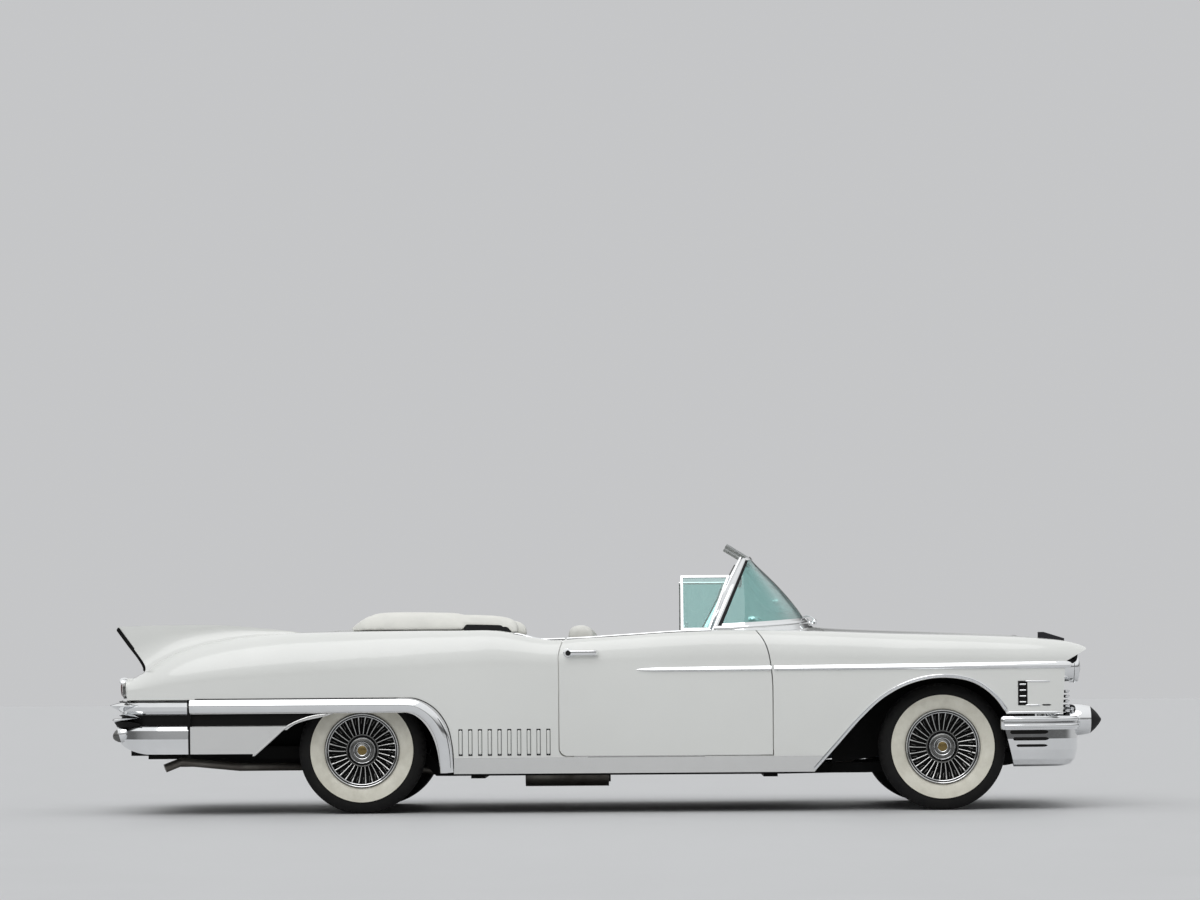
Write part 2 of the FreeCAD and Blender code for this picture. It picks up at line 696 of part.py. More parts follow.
exhaust_tip = (-2515.0, -760.0, 262.0)
pipe_head_y = engine_half + pipe_radius + seat_gap
exhaust = pipe([
    (1440, -pipe_head_y, pipe_mid_z + 80), (1340, -pipe_head_y - 2, pipe_mid_z), (pipe_bend_x, -pipe_mid_y, pipe_mid_z),
    (-980, -pipe_mid_y, pipe_mid_z), (-1180, -pipe_mid_y - 12, pipe_over_z), (-1640, -pipe_mid_y - 12, pipe_over_z),
    (-2100, -640, pipe_over_z + 4), (-2420, -735, 300), exhaust_tip], pipe_radius)
silencer = rod((-470, -pipe_mid_y, pipe_mid_z - 30), (10, -pipe_mid_y, pipe_mid_z - 30), 62)
silencer = silencer.common(box(-500, 50, -700, 0, 100, frame_top_z))
save("exhaust", both(joined(exhaust, silencer)))

# Rear axle: housing, differential, spring seats and stub axles for the wheels
wheel_bore = 25.0
running_gap = 0.05
stub_radius = wheel_bore - running_gap
hub_inner_y = 690.0
stub_end_y = 792.0
axle_radius = 45.0
axle = cylinder_y(rear_axle_x, tyre_radius, axle_radius, -hub_inner_y + 6, hub_inner_y - 6)
diff = Part.makeSphere(140, Vec(rear_axle_x, 0, tyre_radius))
diff_nose = rod((rear_axle_x, 0, tyre_radius), (rear_axle_x + 330, 0, tyre_radius - 60), 60)
stub = cylinder_y(rear_axle_x, tyre_radius, stub_radius, -stub_end_y, stub_end_y)
bump = cylinder_z(rear_axle_x, -rail_rear_y, 42, tyre_radius, 420 - seat_gap)
rear_axle = joined(axle, diff, diff_nose, stub, bump, mirrored(bump))
save("rear_axle", rear_axle)

# Front suspension: upper and lower arms from the frame to the kingpins
arm_inner_y = rail_front_y + w + seat_gap
arm_low_z = 262.0
arm_high_z = 452.0
pin_gap = 1.0
arm_low_depth = 34.0
arm_high_depth = 30.0
lower_arm = joined(
    box(front_axle_x - 60, front_axle_x + 60, -kingpin_y, -arm_inner_y, arm_low_z - arm_low_depth, arm_low_z),
    cylinder_z(front_axle_x, -kingpin_y, 40, arm_low_z - arm_low_depth, arm_low_z))
tower = box(front_axle_x - 45, front_axle_x + 45, -arm_inner_y - 30, -arm_inner_y, arm_low_z - arm_low_depth,
            arm_high_z + arm_high_depth)
upper_arm = joined(
    box(front_axle_x - 40, front_axle_x + 40, -kingpin_y, -arm_inner_y, arm_high_z, arm_high_z + arm_high_depth),
    cylinder_z(front_axle_x, -kingpin_y, 36, arm_high_z, arm_high_z + arm_high_depth))
pin_radius = 12.0
pin_reach = 25.0
pin_low = cylinder_z(front_axle_x, -kingpin_y, pin_radius, arm_low_z - 5, arm_low_z + pin_reach)
pin_high = cylinder_z(front_axle_x, -kingpin_y, pin_radius, arm_high_z - pin_reach, arm_high_z + 5)
save("front_suspension", both(joined(lower_arm, tower, upper_arm, pin_low, pin_high)))

# Steering knuckles that turn on the arms' pins and carry the front wheels
knuckle = joined(
    cylinder_z(front_axle_x, -kingpin_y, 28, arm_low_z + pin_gap, arm_high_z - pin_gap),
    cylinder_y(front_axle_x, tyre_radius, 38, -hub_inner_y + 6, -kingpin_y),
    cylinder_y(front_axle_x, tyre_radius, stub_radius, -stub_end_y, -kingpin_y))
socket = pin_radius + running_gap
socket_depth = pin_reach + 1
knuckle = knuckle.cut([cylinder_z(front_axle_x, -kingpin_y, socket, arm_low_z, arm_low_z + socket_depth),
                       cylinder_z(front_axle_x, -kingpin_y, socket, arm_high_z - socket_depth, arm_high_z)])
save("steering_knuckle_right", knuckle)
save("steering_knuckle_left", mirrored(knuckle))

# Wheels: turned round the Y axis from half sections of (distance from the axle, distance from mid-tyre)
rim_radius = 190.0


def turned(points, x, y, z):
    """A solid turned round the Y axis at (x, y, z) from (radius, offset) points; lists are smooth curves."""
    start = points[0]
    wire = outline(start, points[1:], lambda p: Vec(x + p[0], y + p[1], z))
    return Part.Face(wire).revolve(Vec(x, y, z), Vec(0, 1, 0), 360)


def tyre_shape(x, y, outward):
    """A tyre with a flat tread, round shoulders and full sidewalls."""
    h, r = tyre_width / 2, tyre_radius
    seat = rim_radius + seat_gap
    profile = [(seat, -66.0 * outward), (seat + 14, -74.0 * outward),
               [(seat + 48, -96.0 * outward), (r - 92, -h * outward), (r - 40, -94.0 * outward),
                (r - 12, -78.0 * outward), (r, -62.0 * outward)],
               (r, 62.0 * outward),
               [(r - 12, 78.0 * outward), (r - 40, 94.0 * outward), (r - 92, h * outward),
                (seat + 48, 96.0 * outward), (seat + 14, 74.0 * outward)],
               (seat, 66.0 * outward)]
    return turned(profile, x, y, tyre_radius)


spoke_count = 20


def wheel_shape(x, y, outward):
    """A rim, a dished centre and a hub, with wire spokes in front of the dish."""
    o = outward
    rim = [(rim_radius, -66.0 * o), (rim_radius, 66.0 * o), (rim_radius + 13, 75.0 * o), (rim_radius + 22, 82.0 * o),
           (rim_radius + 22, 89.0 * o), (rim_radius + 8, 89.0 * o), (rim_radius - 10, 72.0 * o),
           (rim_radius - 14, 8.0 * o), (80.0, 0.0), (60.0, 10.0 * o), (60.0, 34.0 * o), (wheel_bore, 34.0 * o),
           (wheel_bore, -80.0 * o), (60.0, -80.0 * o), (66.0, -12.0 * o), (rim_radius - 14, -12.0 * o),
           (rim_radius - 14, -74.0 * o), (rim_radius + 12, -80.0 * o), (rim_radius + 12, -73.0 * o)]
    solid = turned(rim, x, y, tyre_radius)
    hub = turned([(0.0, 36.0 * o), (94.0, 36.0 * o), (90.0, 56.0 * o), (62.0, 66.0 * o),
                  [(56.0, 84.0 * o), (34.0, 96.0 * o), (0.0, 100.0 * o)]], x, y, tyre_radius)
    collar = turned([(wheel_bore, 20.0 * o), (70.0, 8.0 * o), (80.0, 36.0 * o), (wheel_bore, 36.0 * o)], x, y,
                    tyre_radius)
    spokes = []
    for i in range(spoke_count):
        angle = 2 * math.pi * i / spoke_count
        lean = math.radians(7) * (1 if i % 2 else -1)
        inside = (x + 84 * math.cos(angle + lean), y + 46 * o, tyre_radius + 84 * math.sin(angle + lean))
        outside = (x + 184 * math.cos(angle), y + 66 * o, tyre_radius + 184 * math.sin(angle))
        spokes.append(rod(inside, outside, 4.0))
    return joined(solid, hub, collar, *spokes)


for name, x, side in (("front_right", front_axle_x, -1), ("front_left", front_axle_x, 1),
                      ("rear_right", rear_axle_x, -1), ("rear_left", rear_axle_x, 1)):
    save("tyre_" + name, tyre_shape(x, side * track / 2, side))
    save("wheel_" + name, wheel_shape(x, side * track / 2, side))

# Lower rear trim: the bright band round the wheel opening, the lower panel and the dark recess between them
split_x = -2355.0
recess_low_z = 499.0
lower_panel_z = 345.0
proud_outer = body_volume(-4)
proud_inner = body_volume(10)
recess_outer = body_volume(recess_depth)
recess_inner = body_volume(recess_depth + 12)
band_prism = side_prism((split_x + half_seam, band_low_z), [
    (-1150.0, band_low_z), arch_inner, (-859.0, 233.0),
    [(x - 0.5, z) for x, z in reversed(arch_outer[:-1])] + [(band_start_x, band_top_z - seat_gap)],
    (split_x + half_seam, band_top_z - seat_gap)], y1=0)
band = proud_outer.cut(proud_inner).common(band_prism)
lower_prism = side_prism((split_x + half_seam, lower_panel_z), [
    (split_x + half_seam, recess_low_z), (-1800.0, recess_low_z), [(-1840.0, 480.0), (-1920.0, 415.0),
                                                                   (-1985.0, lower_panel_z)]], y1=0)
lower = proud_outer.cut(proud_inner).common(lower_prism)
recess_prism = side_prism((split_x + half_seam, recess_low_z - 20), [
    (split_x + half_seam, band_low_z + 20), (-1500.0, band_low_z + 20), [(-1560.0, 562.0), (-1700.0, 530.0),
                                                                        (-1800.0, recess_low_z - 20)]], y1=0)
recess = recess_outer.cut(recess_inner).common(recess_prism)
backing = proud_outer.cut(recess_inner)
backing_top = backing.common(side_prism((split_x + half_seam, band_low_z + 12), [
    (-1500.0, band_low_z + 12), (-1500.0, band_low_z + 26), (split_x + half_seam, band_low_z + 26)], y1=0))
backing_low = backing.common(side_prism((split_x + half_seam, recess_low_z - 26), [
    (-1880.0, recess_low_z - 26), (-1880.0, recess_low_z - 12), (split_x + half_seam, recess_low_z - 12)], y1=0))
skirt = joined(band, lower, recess, backing_top, backing_low)
save("rear_skirts", both(skirt))

# Rear bumper wrapping the tail: an upper and a lower bar with a dark slot between them
def wrapped(half_path):
    """A whole path across the car from its right half of (x, half width) points, ending at the centre."""
    right = [(x, -y) for x, y in half_path]
    return right + [(x, -y) for x, y in reversed(right[:-1])]


# Half widths of the two bumpers seen from above, from the wheel side to the centre
rear_path = [(-2330, 971), (-2480, 948), (-2600, 919), (-2690, 876), (-2755, 790), (-2794, 640), (-2815, 420),
             (-2826, 210), (-2830, 0)]
rear_profile = [(-3, 345), (0, 380), (7, 430), (2, 478), (-12, 499), (-32, 503), (-32, 568), (-12, 572), (2, 588),
                (5, 612), (0, 634), (-14, 650), (-40, 651), (-46, 600), (-46, 345)]
bumper_rear = swept([(x, -y, 0) for x, y in wrapped(rear_path)], rear_profile)
foot_face_x = iron_rear_x - seat_gap
rear_underside = side_prism((-2900.0, 100.0), [(-2900.0, 500.0), (-2834.0, 500.0), [(-2812.0, 455.0), (-2760.0, 402.0),
                                               (-2680.0, 362.0), (-2600.0, 345.0)], (-2540.0, 340.0), (-2540.0, 100.0)])
rear_foot = side_prism((foot_face_x, 352.0), [(foot_face_x, 480.0), (-2792.0, 480.0), (-2792.0, 446.0)],
                       y0=-rail_rear_y - iron_half, y1=-rail_rear_y + iron_half)
bumper_rear = bumper_rear.cut([box(split_x - half_seam, -2000, -far_y, far_y, 0, 1000), rear_underside])
bumper_rear = largest(bumper_rear.fuse([rear_foot, mirrored(rear_foot)]))
save("rear_bumper", bumper_rear)

# Front bumper: a bar and a deeper apron wrapping the nose, with two bullets and their tips
bullet_y = 560.0
bullet_z = 501.0
bullet_radius = 90.0
bullet_rear_x = 2628.0
bullet_tip_x = 2772.0
bullet_tip_radius = 78.0
front_path = [(2236, 984), (2330, 978), (2440, 962), (2540, 932), (2620, 880), (2668, 800), (2694, 680),
              (2706, 500), (2710, 250), (2711, 0)]
bar_profile = [(0, 452), (6, 470), (8, 490), (6, 510), (0, 527), (-40, 527), (-40, 452)]
apron_profile = [(-84, 244), (-46, 255), (-22, 285), (-9, 338), (-6, 400), (-10, 453), (-40, 453), (-46, 345),
                 (-64, 300), (-96, 256)]
front_level = [(x, y, 0) for x, y in wrapped(front_path)]
bar = swept(front_level, bar_profile)
apron = swept(front_level, apron_profile)
apron_end = side_prism((2100.0, 600.0), [(2250.0, 600.0), (2250.0, 452.0), (2304.0, 230.0), (2304.0, 100.0),
                                         (2100.0, 100.0)])
apron = apron.cut(apron_end)
bullet_profile = [(0.0, bullet_rear_x), (bullet_radius - 6, bullet_rear_x),
                  [(bullet_radius - 1, 2660.0), (bullet_radius, 2695.0), (bullet_radius - 4, 2740.0),
                   (bullet_tip_radius, bullet_tip_x)], (0.0, bullet_tip_x)]
bullets = [turned_x(bullet_profile, side * bullet_y, bullet_z) for side in (-1, 1)]
front_feet = [box(iron_front_x + seat_gap, 2680, s * rail_front_y - iron_half, s * rail_front_y + iron_half,
                  iron_front_low_z, iron_front_high_z) for s in (-1, 1)]
bumper_front = largest(bar.fuse([apron] + bullets + front_feet))
save("front_bumper", bumper_front)
tip_profile = [(0.0, bullet_tip_x + seat_gap), (bullet_tip_radius - 1, bullet_tip_x + seat_gap),
               [(58.0, 2795.0), (30.0, 2820.0), (6.0, 2836.0)], (0.0, overall_length / 2)]
save("bumper_tips", Part.makeCompound([turned_x(tip_profile, side * bullet_y, bullet_z) for side in (-1, 1)]))

# Nose panel behind the lamps and the grille, following the undercut of the brow
lamp_z = 800.0
lamp_ys = (620.0, 800.0)
lamp_radius = 80.0
lamp_front_x = 2676.0
grille_half = 520.0
grille_low_z = 562.0
grille_high_z = 742.0
nose_wall = 12.0
nose_low_z = 545.0
nose_strip = side_prism((2576.0 - nose_wall, nose_low_z), [
    (2576.0, nose_low_z), (2593.0, 823.0), (2603.0, 838.0), (2717.0, 902.0), (2717.0, 902.0 + nose_wall + 3),
    (2597.0, 838.0 + nose_wall), (2580.0, 826.0)])
nose_panel = inside_gap.common(nose_strip)
grille_hole = box(2500, 2640, -grille_half, grille_half, grille_low_z, grille_high_z)
lamp_holes = [Part.makeCylinder(lamp_radius + seat_gap, 400, Vec(2500, s * y, lamp_z), Vec(1, 0, 0))
              for s in (-1, 1) for y in lamp_ys]
nose_panel = largest(nose_panel.cut([grille_hole] + lamp_holes))
save("nose_panel", nose_panel)

# Grille: an open egg-crate in front of the radiator
grille_columns = 16
grille_rows = 4
grille_back_x = 2589.4
grille_front_x = 2622.0
frame_bar = 12.0
gx0, gx1, gh = grille_back_x, grille_front_x, grille_half + 18
grille_outer = box(gx0, gx1, -gh, gh, grille_low_z - 14, grille_high_z + 14)
grille_parts = [grille_outer.cut(box(gx0 - 1, gx1 + 1, -gh + frame_bar, gh - frame_bar, grille_low_z - 2,
                                     grille_high_z + 2))]
for i in range(1, grille_rows + 1):
    z = grille_low_z + (grille_high_z - grille_low_z) * i / (grille_rows + 1)
    grille_parts.append(box(gx0, gx1 - 4, -gh + 2, gh - 2, z - 3, z + 3))
for i in range(1, grille_columns + 1):
    y = -grille_half + 2 * grille_half * i / (grille_columns + 1)
    grille_parts.append(box(gx0 + 4, gx1, y - 3, y + 3, grille_low_z - 6, grille_high_z + 6))
save("grille", joined(*grille_parts))

# Quad headlamps: a bezel round each lamp and a domed lens in it
bezels = []
lenses = []
bezel_wall = 7.0
bezel_rear_x = 2560.0
bezel_floor_x = 2600.0
lens_radius = lamp_radius - bezel_wall - seat_gap
bezel_profile = [(0.0, bezel_rear_x), (lamp_radius, bezel_rear_x), (lamp_radius, lamp_front_x),
                 (lamp_radius - bezel_wall, lamp_front_x), (lamp_radius - bezel_wall, bezel_floor_x),
                 (0.0, bezel_floor_x)]
lens_profile = [(0.0, bezel_floor_x + seat_gap), (lens_radius, bezel_floor_x + seat_gap),
                (lens_radius, lamp_front_x - 12), [(lens_radius - 25, lamp_front_x + 8), (0.0, lamp_front_x + 18)]]
for y in (-lamp_ys[1], -lamp_ys[0], lamp_ys[0], lamp_ys[1]):
    bezels.append(turned_x(bezel_profile, y, lamp_z))
    lenses.append(turned_x(lens_profile, y, lamp_z))
save("headlamp_bezels", Part.makeCompound(bezels))
save("headlamp_lenses", Part.makeCompound(lenses))

# Tail lamps: a lens on each pod
lens_back_x = pod_rear_x - seat_gap
tail_lens = turned_x([(0.0, lens_back_x), (48.0, lens_back_x),
                      [(43.0, lens_back_x - lens_depth * 0.6), (24.0, lens_back_x - lens_depth * 0.93),
                       (0.0, lens_back_x - lens_depth)]], -pod_y, pod_z)
save("tail_lamps", both(tail_lens))

# Fender-top ornaments, one low blade on each front fender
ornament_y = 850.0
ornament = box(2451, 2600, -ornament_y - 9, -ornament_y + 9, 940, surface_height(2451, ornament_y) + 34)
ornament = ornament.common(side_prism((2440.0, 930.0), [(2610.0, 930.0), (2600.0, 965.0), (2470.0, 1006.0),
                                                        (2440.0, 1006.0)]))
ornament = largest(ornament.cut(outside_gap))
save("fender_ornaments", both(ornament))

# Windshield: a wraparound pane in a closed frame
glass_base = [(612.0, -846.0, 1040.0), (760.0, -836.0, 1044.0), (900.0, -802.0, 1052.0), (1010.0, -712.0, 1060.0),
              (1080.0, -580.0, 1066.0), (1136.0, -360.0, 1074.0), (1164.0, -160.0, 1079.0), (1170.0, 0.0, 1080.0)]
glass_top = [(787.0, -694.0, 1438.0), (800.0, -680.0, 1440.0), (812.0, -650.0, 1442.0), (822.0, -590.0, 1444.0),
             (828.0, -500.0, 1446.0), (833.0, -330.0, 1448.0), (836.0, -150.0, 1449.0), (837.0, 0.0, 1449.0)]
glass_rows = 7


def mirrored_row(row):
    """A whole row across the car from its right half."""
    return row + [(x, -y, z) for x, y, z in reversed(row[:-1])]


def windshield_grid(offset, low=0.0, high=1.0, side=0.0):
    """Grid points of the windshield's surface between two heights, moved outwards by offset.

    The end columns move towards their neighbours by the share in side.
    """
    base, top = mirrored_row(glass_base), mirrored_row(glass_top)
    count = len(base)
    grid = []
    for j in range(glass_rows):
        t = low + (high - low) * j / (glass_rows - 1)
        belly = 26.0 * 4 * t * (1 - t)
        row = []
        for i in range(count):
            b, c = Vec(*base[i]), Vec(*top[i])
            if i in (0, count - 1):
                k = 1 if i == 0 else count - 2
                b = b + (Vec(*base[k]) - b) * side
                c = c + (Vec(*top[k]) - c) * side * 2.5
            p = b * (1 - t) + c * t
            out = Vec(p.x - 560.0, p.y * 0.9, 0).normalize()
            row.append(p + out * belly * math.sin(math.pi * i / (count - 1)))
        grid.append(row)
    moved = []
    for j in range(glass_rows):
        row = []
        for i in range(count):
            along = grid[j][min(i + 1, count - 1)] - grid[j][max(i - 1, 0)]
            up = grid[min(j + 1, glass_rows - 1)][i] - grid[max(j - 1, 0)][i]
            row.append(grid[j][i] + along.cross(up).normalize() * offset)
        moved.append(row)
    return moved


frame_inward = -9.0
frame_outward = 9.0
glass_half = 3.0
windshield_body = thick_sheet(windshield_grid(frame_inward, -0.14), windshield_grid(frame_outward, -0.14))
pane_hole = thick_sheet(windshield_grid(-16, 0.05, 0.955, 0.16), windshield_grid(16, 0.05, 0.955, 0.16))
windshield_frame = largest(windshield_body.cut([pane_hole, outside_gap]))
save("windshield_frame", windshield_frame)
pane = thick_sheet(windshield_grid(-glass_half, 0.0512, 0.9539, 0.164),
                   windshield_grid(glass_half, 0.0512, 0.9539, 0.164))
save("windshield_glass", pane)

# Vent windows that ride on the doors: a frame round a small pane
vent_foot_y = 886.0
vent_head_y = 748.0
vent_foot_z = 1010.0
vent_head_z = 1338.0
vent_rear_x = 430.0
vent_foot_x = 588.0
vent_head_x = 712.0
vent_bar = 15.0
vent_thickness = 14.0
vent_glass = 5.0
vent_slope = Vec(0, vent_foot_y - vent_head_y, vent_head_z - vent_foot_z)
vent_normal = Vec(1, 0, 0).cross(vent_slope).normalize()


def vent_sheet(inset, thickness):
    """A slab in the vent window's plane, with its edges moved inwards by inset."""
    height = vent_slope.Length
    lean = (vent_head_x - vent_foot_x) / height
    low, high = inset, height - inset
    front = [vent_foot_x + lean * s - inset * 1.1 for s in (low, high)]
    corners = [(vent_rear_x + inset, low), (front[0], low), (front[1], high), (vent_rear_x + inset, high)]
    origin = Vec(0, -vent_foot_y, vent_foot_z) - vent_normal * thickness / 2
    direction = vent_slope * (1 / height)
    points = [origin + Vec(x, 0, 0) + direction * s for x, s in corners]
    return Part.Face(Part.makePolygon(points + points[:1])).extrude(vent_normal * thickness)


vent_low = vent_bar + 16
vent_hole = vent_sheet(vent_bar, 60).cut(box(0, 1000, -1000, 0, 900, vent_foot_z + vent_low))
vent_frame = vent_sheet(0, vent_thickness).cut([vent_hole, outside_gap])
vent_pane = vent_sheet(vent_bar + seat_gap, vent_glass)
vent_pane = vent_pane.cut(box(0, 1000, -1000, 0, 900, vent_foot_z + vent_low + seat_gap))
vent = Part.makeCompound([largest(vent_frame), vent_pane])
save("vent_window_right", vent)
save("vent_window_left", mirrored(vent))

# Dashboard
dash_half = 812.0
dash_profile = side_prism((1120.0, 1100.0), [(905.0, 1100.0), (880.0, 985.0), [(862.0, 978.0), (856.0, 962.0)],
                                             (880.0, 900.0), (868.0, 868.0), (890.0, 770.0), (940.0, 752.0),
                                             (1120.0, 752.0)], y0=-dash_half, y1=dash_half)
dash_limit = side_prism((1149.0, 1020.0), [(1000.0, 1012.0), (800.0, 990.0), (800.0, 700.0), (1149.0, 700.0)])
column_angle = math.radians(24)
column_axis = Vec(-math.cos(column_angle), 0, math.sin(column_angle))
column_radius = 26.0
wheel_centre = Vec(585, 375, 985)
hub_reach = 46.0
column_end = wheel_centre - column_axis * hub_reach
column_foot_x = firewall_x - seat_gap - firewall_thickness
column_foot = wheel_centre - column_axis * ((column_foot_x - wheel_centre.x) / math.cos(column_angle))
column_gap = Part.makeCylinder(column_radius + seat_gap, 900, wheel_centre, column_axis * -1)
dash = dash_profile.common(dash_limit).common(inside_gap).cut(column_gap)
firewall_band = box(firewall_x - 40, firewall_x - seat_gap, -700, 700, 760, 960)
dash = largest(dash.fuse(firewall_band.cut(column_gap)))
save("dashboard", dash)

# Steering column and wheel
column = Part.makeCylinder(column_radius, (column_foot - column_end).Length, column_foot, column_axis)
selector = rod((wheel_centre.x + 60, wheel_centre.y, 958), (wheel_centre.x + 30, wheel_centre.y - 145, 990), 6)
save("steering_column", joined(column, selector))
wheel_rim_radius = 205.0
rim_bar = 12.0
ring = Part.makeTorus(wheel_rim_radius, rim_bar, wheel_centre, column_axis)
hub_low = column_end + column_axis * pin_gap
hub = Part.makeCylinder(34, 50, hub_low, column_axis)
horn = Part.makeCone(52, 40, 16, hub_low + column_axis * 40, column_axis)
across = Vec(0, 1, 0)
down = column_axis.cross(across)
steering = [ring, hub, horn]
for direction in (across, across * -1, down if down.z < 0 else down * -1):
    tilt = direction * wheel_rim_radius + column_axis * 2
    steering.append(rod(tuple(wheel_centre - column_axis * 16), tuple(wheel_centre + tilt), 8))
save("steering_wheel", joined(*steering))

# Seats
seat_base_z = floor_top + seat_gap
front_seat_half = 770.0
front_seat = side_prism((-150.0, seat_base_z), [
    (395.0, seat_base_z), (405.0, 470.0), [(438.0, 560.0), (430.0, 640.0), (370.0, 668.0)],
    [(180.0, 660.0), (30.0, 628.0)], [(-10.0, 760.0), (-46.0, 940.0)],
    [(-56.0, 1030.0), (-92.0, 1066.0), (-140.0, 1072.0), (-190.0, 1060.0), (-212.0, 1010.0)],
    (-196.0, 560.0)], y0=-front_seat_half, y1=front_seat_half)
save("front_seat", front_seat)
rear_back_x = cabin_rear_x + seat_gap
rear_half = cabin_tub_half - seat_gap
rear_seat = side_prism((rear_back_x, seat_base_z), [
    (-400.0, seat_base_z), (-390.0, 450.0), [(-352.0, 540.0), (-360.0, 606.0), (-420.0, 630.0)],
    [(-560.0, 622.0), (-700.0, 596.0)], [(-730.0, 720.0), (-764.0, 880.0)],
    [(-776.0, 960.0), (-806.0, 992.0), (-850.0, 1000.0), (rear_back_x, 992.0)]], y0=-rear_half, y1=rear_half)
save("rear_seat", rear_seat)

# Boot over the folded top, wrapped round the rear seat
boot_half = 776.0
boot_edge_z = 1000.0
boot_top = guide([(-1510, 1046), (-1440, 1072), (-1308, 1126), (-1190, 1138), (-920, 1134), (-634, 1118),
                  (-560, 1100), (-512, 1062)])
boot_stations = (-1506, -1470, -1400, -1308, -1190, -1050, -900, -760, -640, -560, -524, -506)
boot_sections = []
for x in boot_stations:
    top, edge = boot_top(x), boot_edge_z
    arch = []
    for i in range(13):
        y = -boot_half + 2 * boot_half * i / 12
        arch.append(Vec(x, y, edge + (top - edge) * (1 - abs(y / boot_half) ** 4.5) ** 0.6))
    boot_sections.append(Part.Wire([spline(arch), Part.makeLine(arch[-1], arch[0])]))
boot = Part.makeLoft(boot_sections, True, False)
boot = boot.cut([outside_gap, box(cabin_rear_x + 30, 0, -cabin_tub_half + 12, cabin_tub_half - 12, 900, far_z)])
boot = boot.cut(bulkhead)
save("boot_cover", largest(boot))

# Sun visors folded up over the windshield, and the mirror under its header
frame_keep_out = [windshield_frame.translated(Vec(*step)) for step in
                  ((0, 0, 0), (-seat_gap, 0, 0), (0, 0, -seat_gap), (seat_gap, 0, seat_gap))]
visor = side_prism((842.0, 1428.0), [(848.0, 1436.0), (704.0, 1526.0), (696.0, 1518.0)], y0=-500, y1=-110)
visor = largest(visor.cut(frame_keep_out))
past_frame = thick_sheet(windshield_grid(frame_inward - seat_gap, 0.8), windshield_grid(200, 0.8))
mirror_stem = largest(box(780, 920, -10, 10, 1414, 1426).cut(past_frame))
mirror_drop = box(782, 794, -8, 8, 1310, 1426)
mirror_head = box(776, 792, -118, 118, 1288, 1334)
mirror_piece = largest(joined(mirror_stem, mirror_drop, mirror_head))
save("visors_and_mirror", Part.makeCompound([visor, mirrored(visor), mirror_piece]))

# Outside mirror on the left front fender
mirror_x = 907.0
mirror_y = 905.0
stalk = cylinder_z(mirror_x, mirror_y, 8, 990, 1100)
mirror_z = 1108.0
head = turned_x([(0.0, mirror_x - 46), (24.0, mirror_x - 46),
                 [(27.0, mirror_x - 25), (20.0, mirror_x + 15), (0.0, mirror_x + 54)]], mirror_y, mirror_z)
save("outside_mirror", largest(joined(stalk, head).cut(outside_gap)))
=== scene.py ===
import math

import bmesh
import bpy
import numpy as np
from mathutils import Matrix


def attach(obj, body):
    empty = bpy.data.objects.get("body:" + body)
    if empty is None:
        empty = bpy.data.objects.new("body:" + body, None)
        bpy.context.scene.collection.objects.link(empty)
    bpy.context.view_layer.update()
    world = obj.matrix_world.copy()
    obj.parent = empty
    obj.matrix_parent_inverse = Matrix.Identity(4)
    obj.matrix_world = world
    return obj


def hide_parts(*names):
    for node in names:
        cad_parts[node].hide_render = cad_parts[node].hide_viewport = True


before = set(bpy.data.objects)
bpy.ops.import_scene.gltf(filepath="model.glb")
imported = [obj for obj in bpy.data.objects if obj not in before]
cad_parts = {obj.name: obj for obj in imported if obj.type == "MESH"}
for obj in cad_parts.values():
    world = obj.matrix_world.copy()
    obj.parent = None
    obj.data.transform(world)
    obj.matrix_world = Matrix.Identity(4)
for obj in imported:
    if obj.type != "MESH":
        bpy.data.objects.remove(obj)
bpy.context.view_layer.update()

bl_info = {
    "name": "Finned convertible",
    "version": (1, 0, 0),
    "blender": (4, 5, 0),
    "location": "View3D > Sidebar > Convertible",
    "description": "Dresses the packed frame of a 1950s convertible with its trim, tyres, seats and finishes",
    "category": "Add Mesh",
}

# Lengths here are in millimetres in the part's own frame, and become metres when a mesh is made
MM = 0.001
# The tyres' radius is the axles' height
front_axle_x, rear_axle_x, axle_z, wheel_y = 1905.0, -1384.0, 358.0, 774.5
sill_z = 200.0
to_left = np.array([0, 1.0, 0])


# Lines, surfaces and profiles
def cubic(t, start, end, leaving, arriving):
    """The cubic from start to end as t goes from 0 to 1, whose slopes there are leaving and arriving: start times
    (1 + 2t)(1 - t)^2, leaving times t(1 - t)^2, end times t^2(3 - 2t) and arriving times t^2(t - 1), added up."""
    return (start * (1 + 2 * t) * (1 - t) ** 2 + leaving * t * (1 - t) ** 2
            + end * t * t * (3 - 2 * t) + arriving * t * t * (t - 1))


def guide(points):
    """A smooth function through (x, value) points, made of cubics. The slope at a point is the harmonic mean of
    the two steps beside it, or zero where they point opposite ways, so the curve never overshoots."""
    points = np.array(sorted(points), float)
    xs, ys = points[:, 0], points[:, 1]
    steps = np.diff(ys) / np.diff(xs)
    product, total = steps[:-1] * steps[1:], steps[:-1] + steps[1:]
    inner = np.where(product > 0, 2 * product / np.where(product > 0, total, 1), 0)
    slopes = np.concatenate([steps[:1], inner, steps[-1:]])

    def value(x):
        """The cubic of the span that x lies in, or the end value outside all spans."""
        x = np.clip(np.asarray(x, float), xs[0], xs[-1])
        i = np.clip(np.searchsorted(xs, x, side="right") - 1, 0, len(xs) - 2)
        span = xs[i + 1] - xs[i]
        return cubic((x - xs[i]) / span, ys[i], ys[i + 1], slopes[i] * span, slopes[i + 1] * span)

    return value


